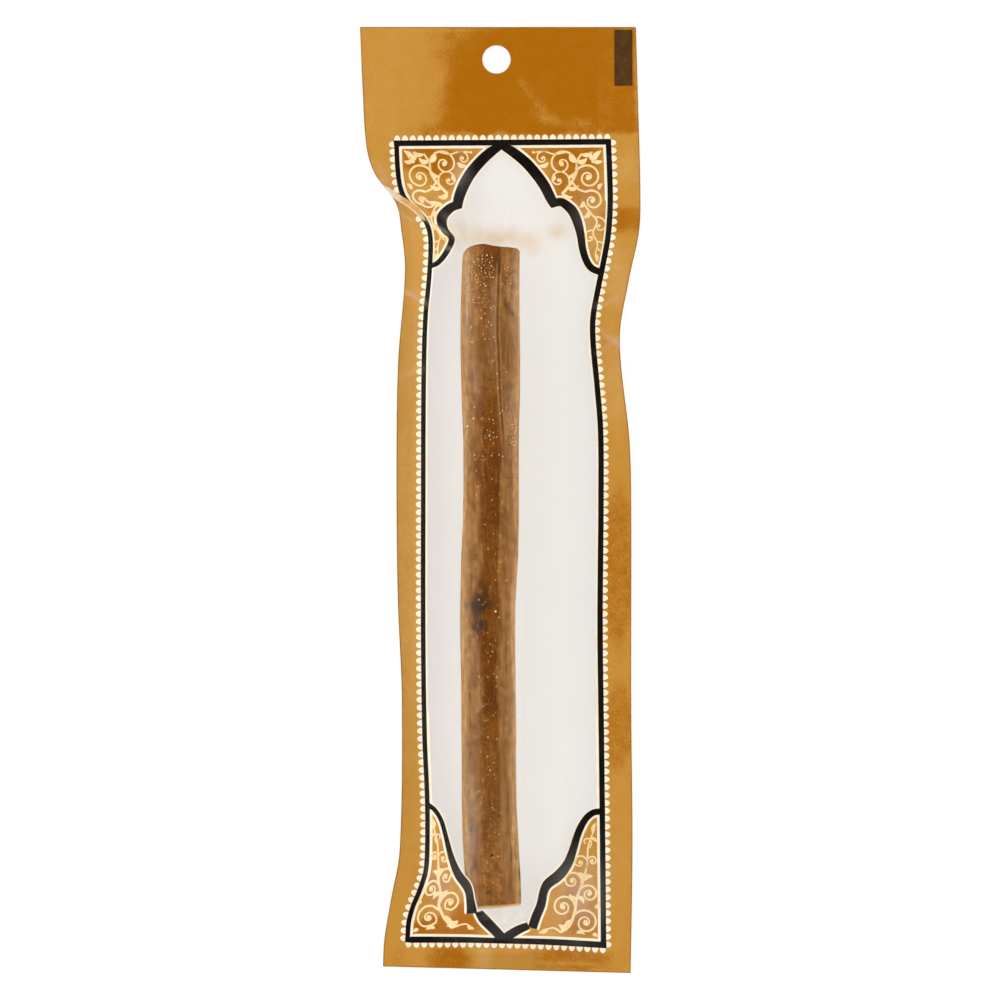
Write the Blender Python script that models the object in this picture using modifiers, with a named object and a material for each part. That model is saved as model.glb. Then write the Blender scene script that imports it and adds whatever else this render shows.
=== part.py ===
"""A miswak stick in its heat-sealed film pouch, at real size, in metres, +Z up.

The pouch lies on its back film. +X runs across it, +Y runs up to the header with the
hang hole, and the origin is on the surface it lies on, under the middle of the pouch.
"""

import math

import bmesh
import bpy

# The stick: its length, its diameters and the line its axis follows, from its top end down
STICK_LENGTH = 0.150
STICK_TOP_Y = 0.0574
STICK_DIAMETERS = (
    (0.000, 0.0126),
    (0.035, 0.0131),
    (0.085, 0.0133),
    (0.125, 0.0119),
    (0.150, 0.0112),
)
STICK_AXIS_X = ((0.000, -0.0020), (0.120, -0.0020), (0.150, -0.0012))
STICK_SIDES = 24
STICK_RINGS = 30
OVALNESS = 0.012
OVAL_TURNS_BY = 5.0
THREE_SIDEDNESS = 0.006
THREE_SIDES_TURN_BY = -4.0
FOOT_END_SLOPE = 0.05
TOP_END_SLOPE = -0.07

# The pouch: its outline from the header down, as heights up the pouch and places across it
POUCH_TOP_Y = 0.1072
POUCH_FOOT_Y = (-0.1057, -0.1072)
LEFT_EDGE = (
    (0.1072, -0.0315),
    (0.0800, -0.0303),
    (0.0740, -0.0283),
    (0.0675, -0.0234),
    (0.0520, -0.0215),
    (0.0300, -0.0231),
    (0.0000, -0.0234),
    (-0.0454, -0.0222),
    (-0.0820, -0.0229),
    (-0.1057, -0.0266),
)
RIGHT_EDGE = (
    (0.1072, 0.0308),
    (0.0700, 0.0315),
    (0.0610, 0.0313),
    (0.0500, 0.0289),
    (0.0363, 0.0270),
    (0.0136, 0.0290),
    (0.0000, 0.0295),
    (-0.1072, 0.0295),
)
FILM_THICKNESS = 0.0002
GAP = 0.0003
HANG_HOLE_DIAMETER = 0.0064
HANG_HOLE_PLACE = (-0.0009, 0.1000)
HANG_HOLE_SIDES = 28

# How the front film is drawn over the stick
STICK_CLEARANCE = 0.0004
FLANK_ANGLE = math.radians(43)
FOOT_FILLET = 0.0012
END_CLEARANCE = 0.0009
SLOPE_ABOVE_STICK = 0.018
SLOPE_BELOW_STICK = 0.010

# How the long edges of both films curl up off the surface beside the stick
EDGE_LIFT = 0.0016
LIFT_STARTS_AT = 0.013
LIFT_FULL_AT = 0.025
LIFT_FADE = 0.030

# The films' grids: columns left of, over and right of the stick, rows above, along and below it
RIDGE_HALF_WIDTH = 0.0074
FRONT_COLUMNS = (5, 9, 6)
BACK_COLUMNS = (4, 2, 4)
FILM_ROWS = (14, 26, 5)

CUTTER_HEIGHT = 0.01


def smoothstep(low, high, value):
    """0 below low, 1 above high, and a smooth rise between them."""
    t = min(max((value - low) / (high - low), 0.0), 1.0)
    return t * t * (3.0 - 2.0 * t)


def through(points, place):
    """The value at a place, on a smooth curve through (place, value) points in order."""
    rising = points[0][0] < points[-1][0]
    ordered = points if rising else tuple(reversed(points))
    place = min(max(place, ordered[0][0]), ordered[-1][0])
    span = 0
    while span < len(ordered) - 2 and place > ordered[span + 1][0]:
        span += 1
    (x0, y0), (x1, y1) = ordered[span], ordered[span + 1]

    def slope(index):
        before = ordered[max(index - 1, 0)]
        after = ordered[min(index + 1, len(ordered) - 1)]
        return (after[1] - before[1]) / (after[0] - before[0])

    width = x1 - x0
    t = (place - x0) / width
    rise0 = slope(span) * width
    rise1 = slope(span + 1) * width
    return (
        (2 * t**3 - 3 * t**2 + 1) * y0
        + (t**3 - 2 * t**2 + t) * rise0
        + (3 * t**2 - 2 * t**3) * y1
        + (t**3 - t**2) * rise1
    )


def stick_radius(y):
    return 0.5 * through(STICK_DIAMETERS, STICK_TOP_Y - y)


def stick_axis_x(y):
    return through(STICK_AXIS_X, STICK_TOP_Y - y)


def stick_axis_z(y):
    """The stick lies on the back film, so its axis drops where it is thinner."""
    return FILM_THICKNESS + STICK_CLEARANCE + stick_radius(y)


def film_lift(x, y):
    """How far the films' long edges curl up beside the stick."""
    beside = smoothstep(LIFT_STARTS_AT, LIFT_FULL_AT, abs(x - stick_axis_x(y)))
    top = STICK_TOP_Y
    foot = STICK_TOP_Y - STICK_LENGTH
    along = smoothstep(0.0, LIFT_FADE, top - y) * smoothstep(0.0, LIFT_FADE, y - foot)
    return EDGE_LIFT * beside * along


def end_fall(y):
    """1 along the stick, falling to 0 where the films meet past its ends."""
    above = y - (STICK_TOP_Y + END_CLEARANCE)
    below = (STICK_TOP_Y - STICK_LENGTH - END_CLEARANCE) - y
    if above > 0:
        return 1.0 - smoothstep(0.0, SLOPE_ABOVE_STICK, above)
    if below > 0:
        return 1.0 - smoothstep(0.0, SLOPE_BELOW_STICK, below)
    return 1.0


def front_film_height(x, y):
    """The underside of the front film: a round ridge over the stick and two straight flanks."""
    radius = stick_radius(y) + STICK_CLEARANCE
    aside = abs(x - stick_axis_x(y))
    tangent = radius * math.sin(FLANK_ANGLE)
    if aside < tangent:
        tent = stick_axis_z(y) + math.sqrt(radius**2 - aside**2)
    else:
        tangent_z = stick_axis_z(y) + radius * math.cos(FLANK_ANGLE)
        tent = tangent_z - (aside - tangent) * math.tan(FLANK_ANGLE)
    base = FILM_THICKNESS + GAP + film_lift(x, y)
    half_rise = 0.5 * (tent - base)
    rounded_rise = half_rise + math.sqrt(half_rise**2 + FOOT_FILLET**2)
    return base + rounded_rise * end_fall(y)


def spread(counts, stops):
    """Places along a line: so many steps between each stop and the next."""
    places = [stops[0]]
    for count, low, high in zip(counts, stops, stops[1:]):
        places += [low + (high - low) * step / count for step in range(1, count + 1)]
    return places


def material(name, colour, roughness):
    finish = bpy.data.materials.new(name)
    finish.use_nodes = True
    shader = finish.node_tree.nodes["Principled BSDF"]
    shader.inputs["Base Color"].default_value = (*colour, 1.0)
    shader.inputs["Roughness"].default_value = roughness
    shader.inputs["Metallic"].default_value = 0.0
    return finish


def add_object(name, mesh_work, collection, finish=None):
    mesh = bpy.data.meshes.new(name)
    mesh_work.to_mesh(mesh)
    mesh_work.free()
    piece = bpy.data.objects.new(name, mesh)
    collection.objects.link(piece)
    if finish:
        mesh.materials.append(finish)
    return piece


def make_stick(collection):
    """A round bar, cut into rings, then tapered, bent and trimmed to the stick's own shape."""
    work = bmesh.new()
    bmesh.ops.create_cone(
        work, cap_ends=True, segments=STICK_SIDES, radius1=1.0, radius2=1.0, depth=1.0
    )
    long_edges = [e for e in work.edges if abs(e.verts[0].co.z - e.verts[1].co.z) > 0.5]
    bmesh.ops.subdivide_edges(
        work, edges=long_edges, cuts=STICK_RINGS - 1, use_grid_fill=True
    )
    for vertex in work.verts:
        along = vertex.co.z + 0.5
        angle = math.atan2(vertex.co.y, vertex.co.x)
        y = STICK_TOP_Y - STICK_LENGTH * (1.0 - along)
        oval = OVALNESS * (1.0 - math.cos(2 * angle + OVAL_TURNS_BY * along))
        three_sided = THREE_SIDEDNESS * (
            1.0 - math.cos(3 * angle + THREE_SIDES_TURN_BY * along)
        )
        radius = stick_radius(y) * (1.0 - oval - three_sided)
        side = radius * math.cos(angle)
        slope = FOOT_END_SLOPE + (TOP_END_SLOPE - FOOT_END_SLOPE) * along
        vertex.co = (
            stick_axis_x(y) + side,
            y + side * slope,
            stick_axis_z(y) + radius * math.sin(angle),
        )
    work.normal_update()
    bmesh.ops.recalc_face_normals(work, faces=work.faces)
    finish = material("stick", (0.22, 0.10, 0.035), 0.55)
    stick = add_object("stick", work, collection, finish)
    stick.data.shade_smooth()
    stick.data.set_sharp_from_angle(angle=math.radians(40))


def make_film(name, columns, height, colour, cutter, collection):
    """A sheet that follows the pouch's outline, thickened upwards, with the hang hole cut."""
    last_row = sum(FILM_ROWS)
    down = spread(
        FILM_ROWS,
        (
            0.0,
            POUCH_TOP_Y - STICK_TOP_Y - END_CLEARANCE,
            POUCH_TOP_Y - STICK_TOP_Y + STICK_LENGTH + END_CLEARANCE,
            POUCH_TOP_Y - min(POUCH_FOOT_Y),
        ),
    )
    work = bmesh.new()
    bmesh.ops.create_grid(
        work, x_segments=sum(columns), y_segments=last_row, size=1.0
    )
    for vertex in work.verts:
        column = round((vertex.co.x + 1.0) * 0.5 * sum(columns))
        row = round((1.0 - vertex.co.y) * 0.5 * last_row)
        y = POUCH_TOP_Y - down[row]
        axis = stick_axis_x(y)
        stops = (
            through(LEFT_EDGE, y),
            axis - RIDGE_HALF_WIDTH,
            axis + RIDGE_HALF_WIDTH,
            through(RIGHT_EDGE, y),
        )
        x = spread(columns, stops)[column]
        if row == last_row:
            across = (x - stops[0]) / (stops[-1] - stops[0])
            y = POUCH_FOOT_Y[0] + (POUCH_FOOT_Y[1] - POUCH_FOOT_Y[0]) * across
        vertex.co = (x, y, height(x, y))
    work.normal_update()
    if sum(face.normal.z for face in work.faces) < 0:
        bmesh.ops.reverse_faces(work, faces=work.faces)
    film = add_object(name, work, collection, material(name, colour, 0.2))
    wall = film.modifiers.new("thickness", "SOLIDIFY")
    wall.thickness = FILM_THICKNESS
    wall.offset = 1.0
    hole = film.modifiers.new("hang hole", "BOOLEAN")
    hole.operation = "DIFFERENCE"
    hole.object = cutter


def make_hole_cutter(collection):
    work = bmesh.new()
    bmesh.ops.create_cone(
        work,
        cap_ends=True,
        segments=HANG_HOLE_SIDES,
        radius1=HANG_HOLE_DIAMETER / 2,
        radius2=HANG_HOLE_DIAMETER / 2,
        depth=CUTTER_HEIGHT,
    )
    cutter = add_object("hang_hole_cutter", work, collection)
    cutter.location = (*HANG_HOLE_PLACE, 0.0)
    cutter.hide_render = True
    cutter.display_type = "WIRE"
    return cutter


def main():
    for old in list(bpy.data.objects):
        bpy.data.objects.remove(old)
    parts = bpy.data.collections.new("miswak stick in a pouch")
    guides = bpy.data.collections.new("cutters")
    for collection in (parts, guides):
        bpy.context.scene.collection.children.link(collection)
    cutter = make_hole_cutter(guides)
    make_stick(parts)
    gold = (0.58, 0.30, 0.07)
    make_film("back_film", BACK_COLUMNS, film_lift, gold, cutter, parts)
    make_film("front_film", FRONT_COLUMNS, front_film_height, gold, cutter, parts)


main()
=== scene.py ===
# %% [markdown]
# A miswak is a piece of root, about as long as a hand, that cleans teeth. This one lies in the
# pouch it is kept in: two printed plastic films, sealed to each other round the edge, with the
# air drawn out so that the front film hugs the stick.
# The measured solids are loaded first. They are the frame that every visible piece is built on.

# %% Load the measured model
import math

import bpy
import numpy as np
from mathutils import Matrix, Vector, noise
from mathutils.geometry import delaunay_2d_cdt


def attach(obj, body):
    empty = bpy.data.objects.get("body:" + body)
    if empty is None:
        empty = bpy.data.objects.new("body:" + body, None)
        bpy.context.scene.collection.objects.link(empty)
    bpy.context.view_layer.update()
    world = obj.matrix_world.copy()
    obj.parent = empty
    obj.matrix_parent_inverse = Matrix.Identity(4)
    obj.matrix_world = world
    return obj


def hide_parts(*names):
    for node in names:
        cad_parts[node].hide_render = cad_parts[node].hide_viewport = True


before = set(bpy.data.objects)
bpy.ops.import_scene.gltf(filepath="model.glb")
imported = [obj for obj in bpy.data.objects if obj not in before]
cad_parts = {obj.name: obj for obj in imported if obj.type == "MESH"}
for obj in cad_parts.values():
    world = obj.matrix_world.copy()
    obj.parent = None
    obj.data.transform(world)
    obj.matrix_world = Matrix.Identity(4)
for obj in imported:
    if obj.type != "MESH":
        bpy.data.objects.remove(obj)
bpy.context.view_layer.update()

print("pieces to dress:", sorted(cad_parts))

# %% [markdown]
# The camera looks straight down on the pouch, as a shop photograph does. A long lens keeps
# the stick from bulging towards the viewer. Its distance follows from the lens: the sensor
# has to see a square of 225.2 mm at the height of the stick.

# %% Camera
FRAMED_WIDTH = 0.2252
LENS_MM = 300.0
SENSOR_MM = 36.0
NEAREST_SEEN = 0.01
VIEW_CENTRE = (-0.00078, 0.00068)
MID_HEIGHT = 0.004


def new_object(name, data):
    """An object that shows this data, linked to the scene."""
    made = bpy.data.objects.new(name, data)
    bpy.context.scene.collection.objects.link(made)
    return made


camera_data = bpy.data.cameras.new("camera")
camera_data.lens = LENS_MM
camera_data.sensor_width = SENSOR_MM
camera_data.clip_start = NEAREST_SEEN
camera = new_object("camera", camera_data)
camera_distance = FRAMED_WIDTH * LENS_MM / SENSOR_MM
camera.location = (*VIEW_CENTRE, MID_HEIGHT + camera_distance)
bpy.context.scene.camera = camera
print(f"camera {camera_distance:.3f} m above the stick")

# %% [markdown]
# A node tree reads best when each node is one call. The first two helpers make a node, set
# its options, and fill its inputs with a number or with a link from another node. The others
# name the few nodes that every tree here is made of.

# %% Node helpers


def fill(tree, made, inputs):
    """Fills a node's inputs, given by name or number, with a value or a socket to link."""
    for key, value in inputs.items():
        if isinstance(value, bpy.types.NodeSocket):
            tree.links.new(value, made.inputs[key])
        else:
            made.inputs[key].default_value = value


def node(tree, kind, inputs=None, **options):
    """Adds a node, sets its options and fills its inputs."""
    made = tree.nodes.new(kind)
    for option, value in options.items():
        setattr(made, option, value)
    fill(tree, made, inputs or {})
    return made


def maths(tree, operation, first, second=0.0):
    return node(tree, "ShaderNodeMath", {0: first, 1: second}, operation=operation).outputs[0]


def mixed(tree, factor, first, second, blend="MIX"):
    """Blends two colours; sockets 0, 6 and 7 are the colour version of the Mix node."""
    inputs = {0: factor, 6: first, 7: second}
    return node(tree, "ShaderNodeMix", inputs, data_type="RGBA", blend_type=blend).outputs[2]


def ramp(tree, value, low, high, to_low=0.0, to_high=1.0):
    """Maps a range to another with a smooth rise, and holds the ends."""
    inputs = {"Value": value, "From Min": low, "From Max": high}
    inputs.update({"To Min": to_low, "To Max": to_high})
    made = node(tree, "ShaderNodeMapRange", inputs, interpolation_type="SMOOTHSTEP")
    return made.outputs["Result"]


def attribute(tree, name):
    return node(tree, "ShaderNodeAttribute", attribute_name=name).outputs["Fac"]


def object_place(tree):
    return node(tree, "ShaderNodeTexCoord").outputs["Object"]


def speckle(tree, place, scale, detail=2.0, roughness=0.5):
    """Noise from 0 to 1; the larger its scale, the finer its specks."""
    inputs = {"Vector": place, "Scale": scale, "Detail": detail, "Roughness": roughness}
    return node(tree, "ShaderNodeTexNoise", inputs).outputs["Fac"]


# %% [markdown]
# Colours are easiest to judge as a painting program shows them, from 0 to 255, but a renderer
# adds light up and needs them linear. A finish starts from the Principled shader, which suits
# ink, bark and water alike when its roughness and its shine are set.

# %% Colours and new finishes


def colour(red, green, blue):
    """A colour as painters' software gives it, 0 to 255, as the linear light Blender wants."""
    shares = [channel / 255.0 for channel in (red, green, blue)]
    linear = [s / 12.92 if s <= 0.04045 else ((s + 0.055) / 1.055) ** 2.4 for s in shares]
    return (*linear, 1.0)


def new_finish(name, roughness, specular=0.0):
    """A material with the Principled shader; returns it, its tree and that shader."""
    finish = bpy.data.materials.new(name)
    finish.use_nodes = True
    tree = finish.node_tree
    shader = tree.nodes["Principled BSDF"]
    fill(tree, shader, {"Roughness": roughness, "Specular IOR Level": specular})
    return finish, tree, shader


# %% [markdown]
# A product picture is lit by a light tent: bright walls all round and a dark hole overhead
# for the lens. Film reflects whatever lies in the mirror direction, so the dark hole keeps
# the middle of the stick deep in colour while the sloping film at its sides turns milky.
# The tent is a world shader that brightens from the top down, and two soft boxes add a
# little direction. The floor is bright enough to print as white.

# %% Light tent, soft boxes and floor
TENT_LIGHT = 1.85
TENT_COLOUR = (1.0, 0.985, 0.965, 1.0)
HOLE_LIGHT = 0.02
HOLE_EDGE = (0.58, 0.88)
SOFT_BOXES = (
    # place, size, watts
    ((-0.50, 0.34, 0.62), 0.5, 2.4),
    ((0.56, -0.30, 0.62), 0.5, 1.4),
)
FLOOR_SIZE = 3.0
FLOOR_BELOW = 0.0002
FLOOR_LOOK = {
    "Base Color": (0.25, 0.25, 0.25, 1.0),
    "Emission Color": (1.0, 0.995, 0.985, 1.0),
    "Emission Strength": 0.80,
}

world = bpy.data.worlds.new("light tent")
bpy.context.scene.world = world
world.use_nodes = True
tent = world.node_tree
direction = node(tent, "ShaderNodeTexCoord").outputs["Generated"]
height = node(tent, "ShaderNodeSeparateXYZ", {0: direction}).outputs["Z"]
strength = ramp(tent, height, *HOLE_EDGE, TENT_LIGHT, HOLE_LIGHT)
fill(tent, tent.nodes["Background"], {"Strength": strength, "Color": TENT_COLOUR})

for number, (place, size, watts) in enumerate(SOFT_BOXES, 1):
    light = bpy.data.lights.new(f"soft box {number}", "AREA")
    light.energy = watts
    light.size = size
    lamp = new_object(light.name, light)
    lamp.location = place
    lamp.rotation_euler = (-Vector(place)).to_track_quat("-Z", "Y").to_euler()

floor_finish, floor_tree, floor_shader = new_finish("white sweep", 0.9, 0.1)
fill(floor_tree, floor_shader, FLOOR_LOOK)
floor_mesh = bpy.data.meshes.new("floor")
half = FLOOR_SIZE / 2
floor_corners = [(-half, -half), (half, -half), (half, half), (-half, half)]
floor_mesh.from_pydata([(x, y, -FLOOR_BELOW) for x, y in floor_corners], [], [(0, 1, 2, 3)])
floor_mesh.materials.append(floor_finish)
floor = new_object("floor", floor_mesh)

scene_look = bpy.context.scene.view_settings
scene_look.view_transform = "Standard"
scene_look.look = "None"
print("lit by a tent and", len(SOFT_BOXES), "soft boxes")

# %% [markdown]
# Everything that is printed or folded follows one surface: the underside of the front film.
# The solids were made from a formula for it, and the same formula is repeated here for whole
# arrays of points, so that thousands of points are placed in one step with numpy. Only the
# pouch's outline was measured again, at more heights than the solids have.

# %% The stick's and the pouch's own sizes, in metres
MM = 0.001
STICK_LENGTH = 0.150
STICK_TOP_Y = 0.0574
STICK_FOOT_Y = STICK_TOP_Y - STICK_LENGTH
STICK_DIAMETERS = (
    (0.000, 0.0126), (0.035, 0.0131), (0.085, 0.0133), (0.125, 0.0119), (0.150, 0.0112),
)
STICK_AXIS_X = ((0.000, -0.0020), (0.120, -0.0020), (0.150, -0.0012))
LEFT_EDGE = (
    (0.1072, -0.0319), (0.0930, -0.0313), (0.0800, -0.0304), (0.0740, -0.0285), (0.0675, -0.0238),
    (0.0610, -0.0225), (0.0520, -0.0217), (0.0300, -0.0233), (0.0000, -0.0236), (-0.0227, -0.0233),
    (-0.0454, -0.0224), (-0.0794, -0.0229), (-0.0908, -0.0249), (-0.0998, -0.0264),
    (-0.1057, -0.0267),
)
RIGHT_EDGE = (
    (0.1072, 0.0308), (0.0930, 0.0312), (0.0700, 0.0318), (0.0610, 0.0315), (0.0500, 0.0292),
    (0.0363, 0.0271), (0.0136, 0.0293), (0.0000, 0.0297), (-0.0454, 0.0297), (-0.0794, 0.0300),
    (-0.1072, 0.0296),
)
POUCH_TOP_Y = 0.1074
POUCH_FOOT_Y = (-0.1059, -0.1074)
HANG_HOLE = (-0.0009, 0.1000, 0.0064)
FILM_THICKNESS = 0.0002
GAP = 0.0003
STICK_CLEARANCE = 0.0004
FLANK_ANGLE = math.radians(43)
FOOT_FILLET = 0.0012
END_CLEARANCE = 0.0009
SLOPE_ABOVE_STICK = 0.018
SLOPE_BELOW_STICK = 0.010
EDGE_LIFT = 0.0016
LIFT_STARTS_AT = 0.013
LIFT_FULL_AT = 0.025
LIFT_FADE = 0.030

thinnest, thickest = (pick(row[1] for row in STICK_DIAMETERS) * 1000 for pick in (min, max))
print(f"stick {STICK_LENGTH * 1000:.0f} mm long, {thinnest:.1f} to {thickest:.1f} mm thick")

# %% [markdown]
# A shape is known at a few measured places only. A smooth curve through them gives the value
# anywhere in between, and a smooth step goes from 0 to 1 without a kink. Later shapes, masks
# and tones are all built with these helpers.

# %% Smooth steps and smooth curves


def smoothstep(low, high, value):
    t = np.clip((value - low) / (high - low), 0.0, 1.0)
    return t * t * (3.0 - 2.0 * t)


def through(points, place):
    """A smooth curve through (place, value) points, read at many places at once."""
    at, value = np.array(sorted(points), float).T
    place = np.clip(place, at[0], at[-1])
    last = len(at) - 1
    span = np.clip(np.searchsorted(at, place) - 1, 0, last - 1)
    before = np.maximum(np.arange(last + 1) - 1, 0)
    after = np.minimum(np.arange(last + 1) + 1, last)
    slope = (value[after] - value[before]) / (at[after] - at[before])
    width = at[span + 1] - at[span]
    t = (place - at[span]) / width
    start = (2 * t**3 - 3 * t**2 + 1) * value[span]
    end = (3 * t**2 - 2 * t**3) * value[span + 1]
    leave = (t**3 - 2 * t**2 + t) * slope[span] * width
    arrive = (t**3 - t**2) * slope[span + 1] * width
    return start + end + leave + arrive


def read_rows(rows, place):
    """Every column of a table but its first, as a smooth curve read at many places."""
    return [through([(row[0], row[i]) for row in rows], place) for i in range(1, len(rows[0]))]


# %% [markdown]
# Over the stick the front film is a tent. It is round on top, where it hugs the bark, runs
# straight down both flanks, and meets the back film in a soft fillet. Past the stick's ends
# the tent falls away, and beside it the long edges of the pouch curl up a little.

# %% The front film before it creases


def stick_radius(y):
    return 0.5 * through(STICK_DIAMETERS, STICK_TOP_Y - y)


def stick_axis_x(y):
    return through(STICK_AXIS_X, STICK_TOP_Y - y)


def stick_axis_z(y):
    return FILM_THICKNESS + STICK_CLEARANCE + stick_radius(y)


def film_lift(x, y):
    """How far the long edges of both films curl up."""
    beside = smoothstep(LIFT_STARTS_AT, LIFT_FULL_AT, np.abs(x - stick_axis_x(y)))
    from_top, from_foot = STICK_TOP_Y - y, y - STICK_FOOT_Y
    along = smoothstep(0.0, LIFT_FADE, from_top) * smoothstep(0.0, LIFT_FADE, from_foot)
    return EDGE_LIFT * beside * along


def end_fall(y):
    """1 over the stick, falling to 0 past both its ends."""
    past_top = smoothstep(0.0, SLOPE_ABOVE_STICK, y - (STICK_TOP_Y + END_CLEARANCE))
    past_foot = smoothstep(0.0, SLOPE_BELOW_STICK, (STICK_FOOT_Y - END_CLEARANCE) - y)
    return (1.0 - past_top) * (1.0 - past_foot)


def smooth_front_film(x, y):
    radius = stick_radius(y) + STICK_CLEARANCE
    aside = np.abs(x - stick_axis_x(y))
    tangent = radius * math.sin(FLANK_ANGLE)
    crown = stick_axis_z(y) + np.sqrt(np.maximum(radius**2 - aside**2, 0.0))
    tangent_z = stick_axis_z(y) + radius * math.cos(FLANK_ANGLE)
    flank = tangent_z - (aside - tangent) * math.tan(FLANK_ANGLE)
    tent = np.where(aside < tangent, crown, flank)
    base = FILM_THICKNESS + GAP + film_lift(x, y)
    half_rise = 0.5 * (tent - base)
    return base + (half_rise + np.sqrt(half_rise**2 + FOOT_FILLET**2)) * end_fall(y)


middle_height = smooth_front_film(np.array([-0.002]), np.array([0.0]))[0]
print(f"film over the stick: {middle_height * 1000:.2f} mm")

# %% [markdown]
# Thin film never lies flat. It gathers where the pouch narrows, puckers round the stick's ends, and
# keeps the marks of the sealing bar. Each crease is a straight ridge with a height and a width, and
# a whitened line where the plastic was bent too far, which also serves as the crease's painted
# highlight. They only add height, so the film never dips into the stick.

# %% Creases in the front film
# Each row: start x, y, end x, y, height and half width in mm, then how white the bend is, which is
# whitened plastic and painted highlight together.
CREASES = (
    # the gather at the upper left, where the pouch narrows
    (-27.4, 72.6, -22.7, 68.4, 0.55, 1.3, 0.10), (-23.4, 69.0, -17.4, 63.8, 0.40, 0.8, 0.08),
    (-17.4, 64.0, -11.2, 59.8, 0.35, 0.6, 0.16), (-24.6, 66.4, -18.6, 62.6, 0.30, 0.8, 0.08),
    (-21.0, 70.6, -13.0, 64.6, 0.22, 0.9, 0.06), (-28.6, 77.0, -24.6, 71.6, 0.35, 1.6, 0.05),
    # puckers that spread from the stick's top end
    (-8.2, 57.6, -12.4, 64.6, 0.35, 1.0, 0.14), (-6.4, 58.2, -7.8, 66.4, 0.30, 0.9, 0.12),
    (-3.2, 58.6, -3.0, 68.6, 0.26, 1.0, 0.08), (0.2, 58.4, 2.2, 67.6, 0.30, 0.9, 0.12),
    (3.0, 57.8, 7.8, 64.4, 0.34, 0.9, 0.14), (4.6, 55.6, 11.4, 60.0, 0.30, 0.8, 0.12),
    (-9.0, 55.4, -14.2, 58.2, 0.26, 0.7, 0.12),
    # pleats that fold together under its bottom end
    (-2.6, -93.4, 1.0, -97.4, 0.32, 0.5, 0.30), (4.8, -93.0, 1.4, -97.2, 0.34, 0.5, 0.34),
    (0.6, -93.6, 1.1, -96.8, 0.22, 0.6, 0.22), (-4.9, -92.2, -2.2, -91.9, 0.20, 0.4, 0.50),
    (5.2, -91.6, 5.6, -95.4, 0.24, 0.5, 0.20), (-7.4, -88.6, -11.4, -90.4, 0.22, 0.7, 0.06),
    # the pinch in the right border
    (22.4, 38.4, 28.2, 34.0, 0.42, 1.0, 0.12), (21.6, 33.0, 27.6, 37.6, 0.30, 0.9, 0.08),
    (20.8, 43.6, 28.8, 46.4, 0.24, 1.2, 0.06), (-16.0, 44.0, -21.8, 47.4, 0.30, 1.0, 0.10),
    (-16.8, 30.0, -22.8, 27.6, 0.24, 1.2, 0.06),
    # marks of the sealing bars in the header
    (-23.6, 107.0, -23.6, 82.0, 0.08, 0.22, 0.03), (22.0, 107.0, 22.4, 82.0, 0.06, 0.22, 0.00),
    (17.0, 83.4, 31.4, 83.4, 0.10, 0.22, 0.02), (22.6, 77.6, 31.4, 77.4, 0.10, 0.22, 0.02),
    (-23.6, 77.6, -19.8, 77.8, 0.10, 0.22, 0.02),
)
CREASE_STARTS = (-0.12, 0.25)
CREASE_ENDS = (0.72, 1.12)


def ridge(x, y, x0, y0, x1, y1, half_width):
    """1 on the crest of a straight crease, falling to 0 across it and towards its ends."""
    along_x, along_y = (x1 - x0), (y1 - y0)
    length = math.hypot(along_x, along_y)
    from_x, from_y = x / MM - x0, y / MM - y0
    t = (from_x * along_x + from_y * along_y) / length**2
    across = (from_x * along_y - from_y * along_x) / length
    crest = np.exp(-np.abs(across / half_width) ** 1.5)
    return crest * smoothstep(*CREASE_STARTS, t) * (1.0 - smoothstep(*CREASE_ENDS, t))


print(len(CREASES), "creases")

# %% [markdown]
# Between its creases the film has broad, low swells. They come from a smooth noise: random
# numbers on a grid, joined by smooth steps, which is quick for whole arrays of points. The
# finished surface is the tent, the creases and the swells, added up.

# %% Swells, and the surface of both films
NOISE_GRID = 64
NOISE_MIDDLE = 31.0
BROAD_HEIGHT = 0.00022
FINE_HEIGHT = 0.00005
BROAD_SWELL = (0.0065, 0.011, 5)
FINE_SWELL = (0.0021, 0.0034, 8)
SWELL_BESIDE_STICK = (0.0045, 0.009)


def swell(x, y, size_x, size_y, seed):
    """Smooth noise from 0 to 1: random values on a grid, joined by smooth steps."""
    values = np.random.default_rng(seed).random((NOISE_GRID, NOISE_GRID))
    across, up = x / size_x + NOISE_MIDDLE, y / size_y + NOISE_MIDDLE
    column, row = np.floor(across).astype(int), np.floor(up).astype(int)
    tx, ty = smoothstep(0, 1, across - column), smoothstep(0, 1, up - row)

    def corner(right, above):
        return values[(row + above) % NOISE_GRID, (column + right) % NOISE_GRID]

    low = corner(0, 0) * (1 - tx) + corner(1, 0) * tx
    high = corner(0, 1) * (1 - tx) + corner(1, 1) * tx
    return low * (1 - ty) + high * ty


def front_film(x, y):
    """The creased underside of the front film."""
    height = smooth_front_film(x, y)
    for *line, crest_height, half_width, _ in CREASES:
        height = height + crest_height * MM * ridge(x, y, *line, half_width)
    beside = smoothstep(*SWELL_BESIDE_STICK, np.abs(x - stick_axis_x(y)))
    height = height + BROAD_HEIGHT * beside * swell(x, y, *BROAD_SWELL)
    return height + FINE_HEIGHT * swell(x, y, *FINE_SWELL)


def back_film(x, y):
    """The back film lies flat but for its curled edges."""
    return film_lift(x, y)


creased_height = front_film(np.array([-0.002]), np.array([0.0]))[0]
print(f"creased film over the stick: {creased_height * 1000:.2f} mm")
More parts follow.
